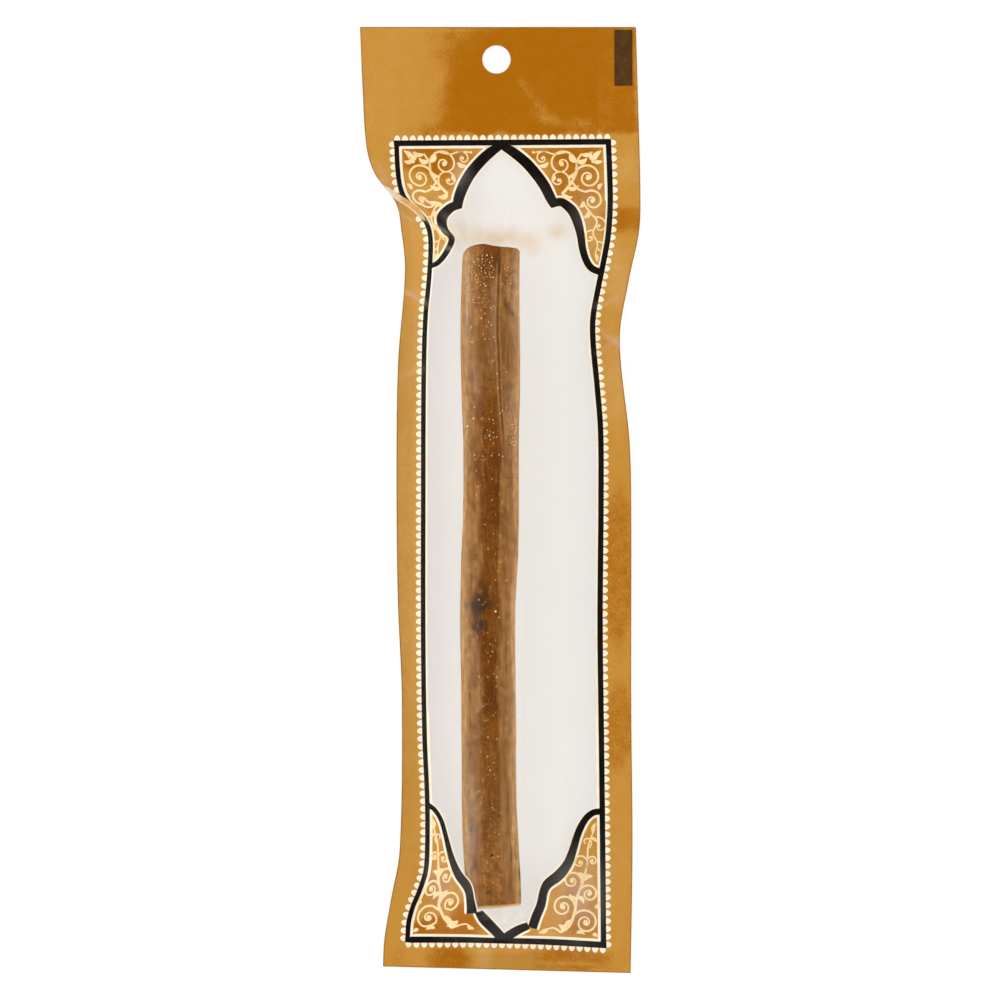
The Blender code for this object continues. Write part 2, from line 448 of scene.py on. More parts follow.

# %% [markdown]
# Clear film is not equally clear everywhere. Over the stick's flanks the milkiness is a painted
# reflection of the bright tent. In bands over the stick it is partly milky film and partly painted
# highlight. Bent in a crease the plastic turns white, which also paints the crease's highlight.
# Round the stick's top end a tan, darker tint is painted warm shade. Both are stored on the mesh as
# numbers for the film's material to read. Sums of soft ovals give them: an oval is placed by five
# numbers and never leaves a hard edge.

# %% How milky the film is, with painted reflection, highlight and warm shade
# Milky bands over the stick: partly milky film, partly painted highlight.
MILKY_AND_SHEEN_BANDS = (
    # x, y, reach across and up in mm, how milky (milky film and painted highlight)
    (-1.8, 41.0, 0.50, 10.0, 0.034), (-7.2, 45.0, 0.60, 11.0, 0.040), (3.6, 46.0, 1.20, 8.0, 0.022),
    (-5.6, 27.0, 1.10, 6.0, 0.022), (2.6, 20.0, 1.60, 7.0, 0.020), (-6.4, -74.0, 1.30, 12.0, 0.050),
    (-5.6, -40.0, 1.00, 16.0, 0.016), (3.4, -50.0, 1.00, 20.0, 0.016),
    (1.0, -94.2, 1.60, 1.0, 0.110), (-2.6, -93.7, 1.30, 0.7, 0.060), (4.4, -94.0, 1.00, 1.0, 0.060),
    (3.7, -32.0, 0.60, 13.0, 0.080), (18.0, -90.0, 5.0, 8.0, 0.085),
    (-13.6, -87.0, 2.6, 5.0, 0.075), (20.0, 66.0, 3.0, 6.0, 0.040), (-9.0, 74.6, 1.8, 3.0, 0.060),
)
WARM_SHADE_SPOTS = (
    # x, y, reach across and up in mm, how much painted warm shade
    (0.2, 59.1, 5.6, 2.0, 0.80), (-9.6, 59.8, 3.0, 3.2, 0.45), (-5.5, 59.8, 3.0, 2.4, 0.20),
    (12.8, 60.9, 2.2, 1.8, 0.65), (7.0, 57.5, 2.6, 2.4, 0.35),
)
FLANK_PAINTED_REFLECTION = 0.026
FLANK_BEGINS = (3.6, 6.0)
FLANK_ENDS = (6.6, 9.5)
CLEARER_FOOT = (-92.0, -78.0)
CREASE_WHITENING_AND_SHEEN = 0.6
LEAST_HAZE = 0.002
MOST_HAZE_AND_SHEEN = 0.85


def soft_ovals(across, up, ovals):
    """The sum of soft ovals at places in mm; a sixth number makes an oval's edge firmer."""
    total = 0.0 * across
    for oval_x, oval_y, reach_x, reach_y, amount, *firmness in ovals:
        away = ((across - oval_x) / reach_x) ** 2 + ((up - oval_y) / reach_y) ** 2
        total = total + amount * np.exp(-(away ** (firmness or [1])[0]))
    return total


def over_stick(x, y, inner, outer):
    """1 over the stick, falling to 0 between two distances in mm from its axis."""
    aside = np.abs(x - stick_axis_x(y)) / MM
    along = smoothstep(STICK_FOOT_Y - 0.002, STICK_FOOT_Y + 0.002, y)
    along = along * (1.0 - smoothstep(STICK_TOP_Y, STICK_TOP_Y + 0.003, y))
    return (1.0 - smoothstep(inner, outer, aside)) * along


def film_haze_and_painted_sheen(x, y):
    """How milky the front film looks, painted light included: painted reflection on its steep
    flanks, milky film and painted highlight in bands over the stick, whitening and painted
    highlight on creases.
    """
    # Painted reflection of the bright tent on the film's steep flanks.
    flank = over_stick(x, y, *FLANK_ENDS) - over_stick(x, y, *FLANK_BEGINS)
    flank = flank * (0.2 + 0.8 * smoothstep(CLEARER_FOOT[0] * MM, CLEARER_FOOT[1] * MM, y))
    haze_and_sheen = LEAST_HAZE + FLANK_PAINTED_REFLECTION * flank * (0.4 + 0.6 * swell(x, y, 0.0012, 0.012, 21))
    ragged = 0.6 + 0.8 * swell(x, y, 0.0016, 0.004, 23)
    haze_and_sheen = haze_and_sheen + ragged * soft_ovals(x / MM, y / MM, MILKY_AND_SHEEN_BANDS)
    # Creases: whitened plastic, which also paints their highlight.
    for *line, _, half_width, whiteness_and_sheen in CREASES:
        haze_and_sheen = haze_and_sheen + CREASE_WHITENING_AND_SHEEN * whiteness_and_sheen * ridge(x, y, *line, 0.55 * half_width)
    return np.clip(haze_and_sheen, 0.0, MOST_HAZE_AND_SHEEN)


def film_warm_shade(x, y):
    """How much painted warm shade darkens and browns the front film round the stick's top end."""
    ragged = 0.7 + 0.6 * swell(x, y, 0.0020, 0.0020, 51)
    return np.clip(ragged * soft_ovals(x / MM, y / MM, WARM_SHADE_SPOTS), 0.0, 1.0)


def film_cling(x, y):
    """1 where the film is sucked onto the bark and takes on its roughness."""
    return over_stick(x, y, 5.2, 7.2)


print(len(MILKY_AND_SHEEN_BANDS), "milky bands and", len(WARM_SHADE_SPOTS), "tinted spots")

# %% [markdown]
# The print is drawn flat, in millimetres, and then laid on the film. Two tools make every
# shape: a ribbon follows a line, and a region fills an outline. Both start from lines, and a
# line is a list of points at even steps on a smooth curve through a few chosen ones.

# %% Lines
STEP = 0.4


def run_along(path):
    """How far along a path each of its points lies."""
    return np.concatenate([[0.0], np.cumsum(np.hypot(*np.diff(path[:, :2], axis=0).T))])


def curve(points, step=STEP):
    """Points at even steps on a smooth line through the given ones; widths come along."""
    points = np.array(points, float)
    run = run_along(points)
    count = max(int(math.ceil(run[-1] / step)), 1) + 1
    places = np.linspace(0.0, run[-1], count)
    return np.column_stack([through(list(zip(run, column)), places) for column in points.T])


def straight(start, end, step=STEP):
    return curve([start, end], step)


def chain(*paths):
    """Joins paths end to end and drops the doubled points."""
    joined = [paths[0]]
    for path in paths[1:]:
        doubled = np.hypot(*(path[0, :2] - joined[-1][-1, :2])) < 1e-6
        joined.append(path[1:] if doubled else path)
    return np.vstack(joined)


# %% [markdown]
# A ribbon is a line with a width on each side of it: borders, arches, vines and even leaves
# are ribbons. At a corner its edges meet in a mitre, as the sides of a picture frame do, and
# points that would fold over each other there are dropped. Quads fill it from edge to edge.

# %% Ribbons
CORNER = math.radians(24)
CORNER_MARGIN = 0.05


def unit(arrows):
    return arrows / np.maximum(np.hypot(*arrows.T), 1e-9)[:, None]


def side_lines(path, left, right, closed=False):
    """The two edges of a ribbon, mitred at corners; points too near a corner are dropped."""
    points = path[:, :2]
    left, right = (np.broadcast_to(width, len(points)).astype(float) for width in (left, right))

    def turns(places):
        """The way out of each point and the way into it, as unit arrows."""
        ahead = np.roll(places, -1, axis=0) - places
        if not closed:
            ahead[-1] = ahead[-2]
        behind = np.roll(ahead, 1, axis=0)
        if not closed:
            behind[0] = ahead[0]
        return unit(ahead), unit(behind)

    ahead, behind = turns(points)
    angle = np.arccos(np.clip((ahead * behind).sum(axis=1), -1.0, 1.0))
    kept = np.ones(len(points), bool)
    for corner in np.nonzero(angle > CORNER)[0]:
        reach = max(left[corner], right[corner]) * math.tan(angle[corner] / 2) + CORNER_MARGIN
        near = np.hypot(*(points - points[corner]).T) < reach
        near[corner] = False
        kept &= ~near
    points, left, right = points[kept], left[kept], right[kept]
    ahead, behind = turns(points)
    middle = unit(ahead + behind)
    normal = np.column_stack([-middle[:, 1], middle[:, 0]])
    stretch = 1.0 / np.clip((middle * ahead).sum(axis=1), 0.5, 1.0)
    to_left, to_right = normal * (left * stretch)[:, None], normal * (right * stretch)[:, None]
    return points + to_left, points - to_right


def ribbon(path, left, right=None, closed=False, columns=2):
    """Quads between the two edges of a line."""
    left_line, right_line = side_lines(path, left, left if right is None else right, closed)
    count = len(left_line)
    shares = np.linspace(0.0, 1.0, columns + 1)[:, None, None]
    rows = left_line[None] * (1 - shares) + right_line[None] * shares
    faces = []
    for column in range(columns):
        for i in range(count if closed else count - 1):
            j = (i + 1) % count
            a, b = column * count, (column + 1) * count
            faces.append((a + i, b + i, b + j, a + j))
    return rows.reshape(-1, 2), faces


def together(*parts):
    """Several flat shapes as one list of points and faces."""
    points, faces, start = [], [], 0
    for part_points, part_faces in parts:
        points.append(part_points)
        faces += [tuple(corner + start for corner in face) for face in part_faces]
        start += len(part_points)
    return np.vstack(points), faces


# %% [markdown]
# A region is filled with small triangles, because large faces could not follow the film. An
# even grid of points is laid inside the outline, and a Delaunay triangulation joins it to
# the rim. A point counts as inside when a line from it crosses the loops an odd number of
# times, so a hole is simply one more loop.

# %% Filled regions
RIM_ROOM = 0.6


def inside(points, loops):
    """Even-odd test: True where a point lies in the area that the loops bound."""
    result = np.zeros(len(points), bool)
    x, y = points.T
    for loop in loops:
        for (x0, y0), (x1, y1) in zip(loop, np.roll(loop, -1, axis=0)):
            if y0 == y1:
                continue
            crosses = ((y0 > y) != (y1 > y)) & (x < (x1 - x0) * (y - y0) / (y1 - y0) + x0)
            result ^= crosses
    return result


def region(loops, step):
    """Triangles that fill the area between closed loops, with an even grid of inner points."""
    loops = [loop[:, :2] for loop in loops]
    rim = np.vstack(loops)
    low, high = rim.min(axis=0), rim.max(axis=0)
    xs = np.arange(low[0] + step / 2, high[0], step)
    ys = np.arange(low[1] + step / 2, high[1], step)
    grid = np.stack(np.meshgrid(xs, ys), axis=-1).reshape(-1, 2)
    grid = grid[inside(grid, loops)]
    room = RIM_ROOM * step
    rim_cells = set(map(tuple, np.floor(rim / room).astype(int)))
    clear = [tuple(cell) not in rim_cells for cell in np.floor(grid / room).astype(int)]
    points = [tuple(point) for point in np.vstack([rim, grid[clear]])]
    edges, start = [], 0
    for loop in loops:
        count = len(loop)
        edges += [(start + i, start + (i + 1) % count) for i in range(count)]
        start += count
    points, _, faces, _, _, _ = delaunay_2d_cdt(points, edges, [], 0, 1e-6)
    points = np.array([tuple(point) for point in points])
    faces = np.array([tuple(face) for face in faces])
    faces = faces[inside(points[faces].mean(axis=1), loops)]
    return points, [tuple(face) for face in faces]


# %% [markdown]
# A printed shape becomes a piece when it is laid on the film. Its points take the film's
# height plus a small lift, so that the inks lie in order: gold lowest, then cream, then
# black, and the clear film over all of them. Solidify gives the sheet its thickness and
# closes its rim; edges sharper than 40 degrees stay crisp while the rest shades smoothly.

# %% From a flat shape to a piece on the film
INK_THICKNESS = 0.000012
CRISP_EDGE = math.radians(40)


def plain_mesh(piece):
    """Replaces a piece by its evaluated mesh, with no modifier left."""
    seen = piece.evaluated_get(bpy.context.evaluated_depsgraph_get())
    mesh = bpy.data.meshes.new_from_object(seen)
    piece.modifiers.clear()
    old = piece.data
    piece.data = mesh
    bpy.data.meshes.remove(old)
    mesh.name = piece.name


def add_piece(name, points, faces, finish):
    mesh = bpy.data.meshes.new(name)
    mesh.from_pydata(points.tolist(), [], faces)
    mesh.materials.append(finish)
    return new_object(name, mesh)


def facing_up(points, faces):
    """Turns every face so that it runs anticlockwise seen from above."""
    turned = []
    for face in faces:
        corners = points[list(face)]
        x, y = corners.T
        area = (x * np.roll(y, -1) - np.roll(x, -1) * y).sum()
        turned.append(face if area > 0 else face[::-1])
    return turned


def add_values(mesh, name, values):
    """Stores one number for each point, for a material or a tree to read."""
    layer = mesh.attributes.new(name, "FLOAT", "POINT")
    layer.data.foreach_set("value", np.asarray(values, np.float32))


def laid_on_film(
    name, shape, lift, finish, thickness=INK_THICKNESS, film=front_film, values=None
):
    """Drapes a flat shape in mm on a film, gives it a wall and returns the finished piece."""
    flat, faces = shape
    x, y = flat.T * MM
    points = np.column_stack([x, y, film(x, y) + lift])
    piece = add_piece(name, points, facing_up(flat, faces), finish)
    for key, rule in (values or {}).items():
        add_values(piece.data, key, rule(x, y))
    wall = piece.modifiers.new("thickness", "SOLIDIFY")
    wall.thickness = thickness
    wall.offset = 1.0
    plain_mesh(piece)
    piece.data.shade_smooth()
    piece.data.set_sharp_from_angle(angle=CRISP_EDGE)
    print(f"{name}: {len(piece.data.polygons)} faces")
    return piece


# %% [markdown]
# Printing ink on film is not one flat tone. It is laid down in a fine grain, and it looks deeper
# where the two films touch and paler where air lies between them. The grain is a node group with
# named inputs, because the gold, cream and black inks all use it. The deep and pale areas, and pale
# streaks of painted sheen, are stored on the mesh as a number called tone.

# %% Ink grain, shared by all inks


def new_group(name, kind, takes, gives):
    """A node group with named sockets; returns it, what it takes, and its output node."""
    group = bpy.data.node_groups.new(name, kind)
    for way, sockets in (("INPUT", takes), ("OUTPUT", gives)):
        for label, socket_kind in sockets.items():
            group.interface.new_socket(label, in_out=way, socket_type=f"NodeSocket{socket_kind}")
    return group, group.nodes.new("NodeGroupInput").outputs, group.nodes.new("NodeGroupOutput")


def make_grain_group():
    """Gives a fine grain and a broad mottle, each from 0 to 1, on Object coordinates."""
    scales = {"Grain Scale": "Float", "Mottle Scale": "Float"}
    masks = {"Grain": "Float", "Mottle": "Float"}
    group, takes, end = new_group("ink grain", "ShaderNodeTree", scales, masks)
    place = object_place(group)
    grain = ramp(group, speckle(group, place, takes["Grain Scale"], 2.0, 0.6), 0.3, 0.7)
    mottle = ramp(group, speckle(group, place, takes["Mottle Scale"], 3.0), 0.35, 0.65)
    fill(group, end, {"Grain": grain, "Mottle": mottle})
    return group


grain_group = make_grain_group()


def grain_in(tree, grain_scale, mottle_scale):
    """Places the grain group in a material and returns its two masks."""
    scales = {"Grain Scale": grain_scale, "Mottle Scale": mottle_scale}
    made = node(tree, "ShaderNodeGroup", scales, node_tree=grain_group)
    return made.outputs["Grain"], made.outputs["Mottle"]


# %% [markdown]
# Six inks use that grain. The gold has three shades, and the tone stored on the mesh chooses
# between them. Each other ink covers thin lines or small patches only, so it just wanders
# between two close shades.

# %% Gold, cream, black and label inks
GOLD_PALE = colour(203, 156, 88)
GOLD_MIDDLE = colour(193, 139, 57)
GOLD_DEEP = colour(167, 99, 0)
PLAIN_INKS = {
    # dark shade, light shade, scales of the grain and of the mottle, roughness
    "cream ink": ((247, 232, 206), (255, 247, 232), 3000, 300, 0.5),
    "pale gold ink": ((244, 213, 154), (252, 232, 190), 2600, 400, 0.5),
    "black ink": ((14, 9, 7), (30, 23, 20), 2400, 160, 0.42),
    "brown ink": ((74, 48, 20), (96, 65, 26), 3800, 500, 0.45),
    # painted shadow along the pouch's cut edge, drawn as a fine olive line
    "olive edge shadow": ((146, 106, 44), (176, 132, 62), 3800, 300, 0.45),
}


def make_gold_ink():
    finish, tree, shader = new_finish("gold ink", 0.45)
    grain, mottle = grain_in(tree, 3600.0, 420.0)
    tone = maths(tree, "ADD", attribute(tree, "tone"), ramp(tree, mottle, 0.0, 1.0, -0.04, 0.04))
    tone = maths(tree, "ADD", tone, ramp(tree, grain, 0.0, 1.0, -0.10, 0.10))
    lower = mixed(tree, ramp(tree, tone, 0.0, 0.5), GOLD_PALE, GOLD_MIDDLE)
    whole = mixed(tree, ramp(tree, tone, 0.5, 1.0), lower, GOLD_DEEP)
    fill(tree, shader, {"Base Color": whole, "Roughness": ramp(tree, grain, 0.0, 1.0, 0.38, 0.55)})
    return finish


def make_plain_ink(name, dark, light, grain_scale, mottle_scale, roughness):
    """One ink whose colour wanders between two shades."""
    finish, tree, shader = new_finish(name, roughness)
    grain, mottle = grain_in(tree, grain_scale, mottle_scale)
    wander = mixed(tree, maths(tree, "MULTIPLY", grain, mottle), colour(*dark), colour(*light))
    rough = ramp(tree, mottle, 0.0, 1.0, roughness, roughness + 0.12)
    fill(tree, shader, {"Base Color": wander, "Roughness": rough})
    return finish


gold_ink = make_gold_ink()
cream_ink, scroll_ink, black_ink, label_ink, edge_shadow_ink = (
    make_plain_ink(name, *look) for name, look in PLAIN_INKS.items()
)
print("inks: gold ink,", ", ".join(PLAIN_INKS))

# %% [markdown]
# Clear film sends most light straight through, reflects a little of it, and scatters a little where
# it is creased. A glass shader would bend every ray through a wall of a tenth of a millimetre and
# cost a lot of time for nothing, so the film mixes three plain shaders: a slightly grey Transparent
# that turns tan and darker where painted warm shade lies, a creamy Diffuse for the milkiness, which
# also carries painted reflection and painted highlight, and a Glossy that the Fresnel node turns up
# at grazing angles. Backfacing switches the mirror off on the inner wall, which the eye would
# otherwise see as full reflection.

# %% Clear film
FRONT_CLEARNESS = (0.968, 0.966, 0.962, 1.0)
BACK_CLEARNESS = (0.960, 0.952, 0.941, 1.0)
WARM_SHADE_CLEARNESS = (0.905, 0.815, 0.690, 1.0)
MILK_AND_SHEEN = (0.88, 0.82, 0.72, 1.0)
FILM_IOR = 1.34
FILM_ROUGHNESS = 0.08
MIRROR_SHARE = 0.40
FILM_RELIEF = 0.00005
WAVE_SHARE = 0.2


def make_film_finish(name, clearness):
    finish = bpy.data.materials.new(name)
    finish.use_nodes = True
    tree = finish.node_tree
    tree.nodes.clear()
    place = object_place(tree)
    pressed = maths(tree, "MULTIPLY", speckle(tree, place, 1900.0, 3.0), attribute(tree, "cling"))
    waves = maths(tree, "MULTIPLY", speckle(tree, place, 900.0), WAVE_SHARE)
    relief = {"Height": maths(tree, "ADD", waves, pressed), "Distance": FILM_RELIEF}
    bump = node(tree, "ShaderNodeBump", {"Strength": 1.0, **relief})
    # Painted warm shade: the film turns tan and darker round the stick's top end.
    seen_through = mixed(tree, attribute(tree, "warm_shade"), clearness, WARM_SHADE_CLEARNESS)
    clear = node(tree, "ShaderNodeBsdfTransparent", {"Color": seen_through}).outputs[0]
    # The creamy Diffuse carries real milkiness and painted reflection and highlight alike.
    milk_and_sheen = node(tree, "ShaderNodeBsdfDiffuse", {"Color": MILK_AND_SHEEN}).outputs[0]
    haze_and_sheen = attribute(tree, "haze_and_sheen")
    body = node(tree, "ShaderNodeMixShader", {0: haze_and_sheen, 1: clear, 2: milk_and_sheen}).outputs[0]
    gloss = {"Roughness": FILM_ROUGHNESS, "Normal": bump.outputs["Normal"]}
    mirror = node(tree, "ShaderNodeBsdfGlossy", gloss).outputs[0]
    fresnel = node(tree, "ShaderNodeFresnel", {"IOR": FILM_IOR}).outputs[0]
    inner_wall = node(tree, "ShaderNodeNewGeometry").outputs["Backfacing"]
    share = maths(tree, "MULTIPLY", fresnel, maths(tree, "SUBTRACT", 1.0, inner_wall))
    share = maths(tree, "MULTIPLY", share, MIRROR_SHARE)
    film = node(tree, "ShaderNodeMixShader", {0: share, 1: body, 2: mirror}).outputs[0]
    node(tree, "ShaderNodeOutputMaterial", {"Surface": film})
    return finish


front_film_finish = make_film_finish("clear front film", FRONT_CLEARNESS)
back_film_finish = make_film_finish("clear back film", BACK_CLEARNESS)
print("front film sends on", round(FRONT_CLEARNESS[0] ** 2, 3), "of the light that enters it")

# %% [markdown]
# The pouch's outline narrows beside the stick, because the film that climbs over the stick is
# missing from its width. Each film is a thin sheet cut to that outline, with the hang hole.

# %% Both clear films
CLEAR_LIFT = 0.00011
CLEAR_THICKNESS = 0.00008
FILM_STEP = 0.55
INK_INSET = 0.04
BACK_CLEAR_LIFT = 0.00002


def pouch_outline(inset=0.0):
    """The pouch's outline in mm, anticlockwise, as one closed loop."""
    down = np.arange(POUCH_TOP_Y, -POUCH_TOP_Y, -FILM_STEP * MM)
    left = np.column_stack([through(LEFT_EDGE, down) / MM + inset, down / MM])
    right = np.column_stack([through(RIGHT_EDGE, down) / MM - inset, down / MM])
    left = left[left[:, 1] > POUCH_FOOT_Y[0] / MM + inset]
    right = right[right[:, 1] > POUCH_FOOT_Y[1] / MM + inset]
    left[0, 1] -= inset
    right[0, 1] -= inset
    foot_left = np.array([left[-1, 0], POUCH_FOOT_Y[0] / MM + inset])
    foot_right = np.array([right[-1, 0], POUCH_FOOT_Y[1] / MM + inset])
    foot = straight(foot_left, foot_right, FILM_STEP)
    top = straight(right[0], left[0], FILM_STEP)
    return chain(left, foot, right[::-1], top)[:-1]


def circle(x, y, diameter, count=56):
    angle = np.linspace(0.0, 2 * math.pi, count, endpoint=False)
    return np.column_stack([x + diameter / 2 * np.cos(angle), y + diameter / 2 * np.sin(angle)])


hang_hole = circle(*(size / MM for size in HANG_HOLE))
film_shape = region([pouch_outline(), hang_hole], FILM_STEP)
front_sheet = laid_on_film(
    "front_film_sheet",
    film_shape,
    CLEAR_LIFT,
    front_film_finish,
    CLEAR_THICKNESS,
    values={"haze_and_sheen": film_haze_and_painted_sheen, "cling": film_cling, "warm_shade": film_warm_shade},
)
back_sheet = laid_on_film(
    "back_film_sheet",
    film_shape,
    BACK_CLEAR_LIFT,
    back_film_finish,
    CLEAR_THICKNESS,
    back_film,
    {
        "haze_and_sheen": lambda x, y: 0.01 + 0.01 * swell(x, y, 0.004, 0.008, 3),
        "cling": lambda x, y: 0.0 * x,
        "warm_shade": lambda x, y: 0.0 * x,
    },
)

# %% [markdown]
# The frame is the black keyline round the window. Its corners and bends are listed points, because
# the shrunk film pulled the straight lines of the print out of true.

# %% The frame's keyline, in mm
FRAME_TOP_LEFT = (-23.6, 80.95)
FRAME_RIGHT = (
    (24.5, 81.3), (24.8, 73.8), (24.9, 66.9), (24.4, 59.7), (23.3, 53.6), (22.1, 47.7),
    (21.0, 41.3), (21.0, 35.9), (21.9, 26.1), (22.7, 15.9), (22.8, 0.0), (22.6, -28.4),
    (22.9, -54.5), (23.2, -79.4), (23.4, -101.0),
)
FRAME_LEFT = (
    (-23.6, 80.95), (-23.3, 74.9), (-22.8, 71.3), (-21.9, 68.8), (-20.1, 66.6), (-18.2, 64.8),
    (-16.8, 62.9), (-16.0, 60.4), (-15.8, 57.0), (-16.2, 49.9), (-17.0, 41.3), (-17.4, 27.2),
    (-17.5, 0.0), (-17.5, -31.8), (-17.2, -53.3), (-16.6, -68.1), (-16.6, -79.4), (-17.0, -84.4),
    (-18.3, -88.5), (-19.9, -92.4), (-20.8, -95.8), (-21.1, -99.8),
)
FRAME_FOOT = (
    (23.4, -101.0), (14.4, -100.45), (7.6, -100.1), (0.6, -99.85), (-6.4, -99.7), (-13.3, -99.75),
    (-21.1, -99.8),
)
KEYLINE_WIDTHS = {"top": 1.29, "right": 1.24, "foot": 1.42, "left": 1.07}

frame_sides = {
    "top": straight(FRAME_TOP_LEFT, FRAME_RIGHT[0]),
    "right": curve(FRAME_RIGHT),
    "foot": curve(FRAME_FOOT),
    "left": curve(FRAME_LEFT)[::-1],
}
frame_loop = chain(*frame_sides.values())[:-1]
frame_widths = np.concatenate(
    [np.full(len(side) - 1, KEYLINE_WIDTHS[name]) for name, side in frame_sides.items()]
)
print(f"frame {np.ptp(frame_loop[:, 0]):.1f} x {np.ptp(frame_loop[:, 1]):.1f} mm")

# %% [markdown]
# The window has a pointed arch with a small lobe at each shoulder, a very old ornament, and
# two plain bands close it round the stick's foot. The bands swell and taper, so every row
# gives a point and the band's width there.

# %% The arches and the bands at the foot, in mm
ARCH_RIGHT = (
    (0.2, 80.4, 1.5), (2.5, 79.2, 2.15), (5.65, 76.7, 2.32), (8.05, 74.0, 2.40), (9.95, 71.3, 2.42),
    (11.35, 68.5, 2.32), (12.0, 67.3, 2.1),
)
LOBE_RIGHT = (
    (12.0, 67.3, 1.93), (13.7, 67.6, 1.90), (15.15, 66.75, 2.10), (16.45, 65.4, 2.25),
    (17.5, 63.0, 2.12), (18.2, 60.1, 1.80), (18.65, 57.0, 1.64), (19.5, 54.3, 1.60),
    (20.7, 52.6, 1.60), (22.9, 51.6, 1.42),
)
ARCH_LEFT = (
    (0.2, 80.4, 1.5), (-1.9, 79.2, 2.2), (-4.65, 76.7, 2.42), (-6.85, 74.0, 2.52),
    (-8.35, 71.3, 2.54), (-9.4, 68.5, 2.42), (-9.7, 66.8, 2.2),
)
LOBE_LEFT = (
    (-9.7, 66.8, 1.95), (-11.2, 66.2, 2.16), (-12.65, 64.9, 2.40), (-13.25, 63.8, 2.50),
    (-13.1, 62.2, 2.05), (-12.3, 60.7, 1.50), (-11.35, 59.7, 1.20), (-11.0, 58.8, 1.45),
    (-11.7, 57.0, 1.34), (-12.95, 55.0, 1.28), (-14.4, 53.55, 1.18), (-16.0, 53.0, 1.1),
)
FOOT_LEFT = (
    (-16.6, -69.0, 1.12), (-14.9, -70.2, 1.06), (-13.4, -72.6, 1.02), (-12.45, -75.8, 1.06),
    (-11.6, -79.2, 1.28), (-10.7, -82.1, 1.58), (-9.45, -84.8, 1.95), (-7.75, -87.0, 2.12),
    (-7.1, -88.5, 1.85), (-6.85, -90.1, 1.80), (-6.55, -92.1, 2.2), (-6.45, -93.4, 2.4),
)
TIP_LEFT = (
    (-4.84, -92.9, 1.85), (-4.62, -93.4, 2.0), (-3.6, -94.7, 2.46), (-1.65, -96.8, 2.38),
    (0.5, -99.3, 2.3),
)
FOOT_RIGHT = (
    (23.2, -70.6, 1.42), (21.1, -70.9, 1.44), (19.45, -72.2, 1.50), (18.0, -74.7, 1.62),
    (17.1, -77.2, 1.68), (16.3, -79.9, 1.84), (15.1, -82.8, 2.18), (13.0, -85.3, 2.46),
    (10.7, -87.0, 2.26), (9.8, -88.7, 1.98), (9.15, -91.7, 2.08), (8.1, -94.2, 2.14),
    (7.2, -96.9, 2.14),
)
TIP_RIGHT = ((6.3, -96.3, 1.75), (4.2, -97.15, 2.1), (2.4, -98.2, 2.25), (0.9, -99.3, 2.13))

upper_bands = [curve(band) for band in (LOBE_RIGHT, ARCH_RIGHT, ARCH_LEFT, LOBE_LEFT)]
top_arch = chain(upper_bands[0][::-1], upper_bands[1][::-1], *upper_bands[2:])
foot_bands = [curve(band) for band in (FOOT_LEFT, TIP_LEFT, FOOT_RIGHT, TIP_RIGHT)]
print("points on the arch:", len(top_arch), "and on the foot bands:", sum(map(len, foot_bands)))

# %% [markdown]
# The gold's tone is a sum, as the haze is: a base, slow noise, ovals for the deep and the pale
# areas, a few straight pale streaks of painted sheen in the header and along the pouch's top and
# foot edges, and a rule for the header, where the films touch to the right of a slanting line.

# %% How deep the gold looks, with streaks of painted sheen
TONE_SPOTS = (
    # x, y, reach across and up in mm, change of tone (up is deeper), firmness of the edge
    (-18.0, 88.5, 6.0, 4.0, -0.04, 1), (-16.2, 83.8, 3.2, 2.2, 0.28, 1),
    (-27.0, 76.0, 4.0, 8.0, -0.08, 1), (28.6, 75.0, 4.0, 4.2, -0.30, 1),
    (27.5, 63.4, 6.0, 3.2, 0.44, 2), (26.5, 51.0, 4.5, 9.0, -0.36, 1),
    (26.4, 26.0, 4.0, 10.0, -0.26, 2), (26.6, -15.0, 4.4, 19.0, 0.30, 4),
    (26.6, -51.5, 4.4, 10.5, 0.27, 4), (-20.5, 50.0, 5.0, 22.0, -0.20, 2),
    (-20.5, -6.0, 5.0, 38.0, -0.27, 3), (-20.5, -66.0, 5.0, 26.0, -0.14, 2),
    (26.6, -85.0, 4.4, 16.0, -0.08, 2), (-11.6, -104.0, 6.0, 3.4, 0.40, 2),
    (-18.4, -104.0, 2.4, 3.0, -0.10, 1), (-3.6, -104.0, 2.4, 3.4, -0.34, 2),
    (2.6, -104.0, 3.0, 3.4, -0.06, 1), (16.4, -104.4, 10.4, 3.4, 0.34, 2),
    (-22.6, -105.0, 2.4, 2.0, 0.16, 1), (26.6, -104.4, 3.8, 3.4, -0.02, 1),
    (-13.6, 73.6, 3.4, 3.6, 0.30, 2), (-17.0, 77.6, 7.5, 3.4, 0.40, 3),
    (-9.6, 78.4, 6.0, 1.4, 0.30, 2), (-15.6, 66.6, 1.6, 1.6, 0.30, 2),
    (-18.8, 70.4, 2.0, 2.4, -0.06, 1), (13.0, 72.0, 3.0, 3.0, 0.14, 2),
    (14.0, 78.6, 12.0, 2.4, 0.32, 3), (17.5, 73.0, 7.0, 8.0, 0.30, 3),
    (21.0, 60.0, 2.0, 5.0, -0.16, 1), (-13.0, -96.8, 9.0, 3.0, 0.56, 3),
    (-8.6, -94.0, 2.6, 3.4, 0.40, 2), (-14.6, -88.0, 4.0, 5.6, 0.30, 1),
    (19.0, -96.6, 4.5, 2.8, 0.22, 2), (10.6, -98.6, 2.6, 1.2, -0.40, 2),
    (17.5, -91.0, 5.0, 8.0, 0.30, 1),
)
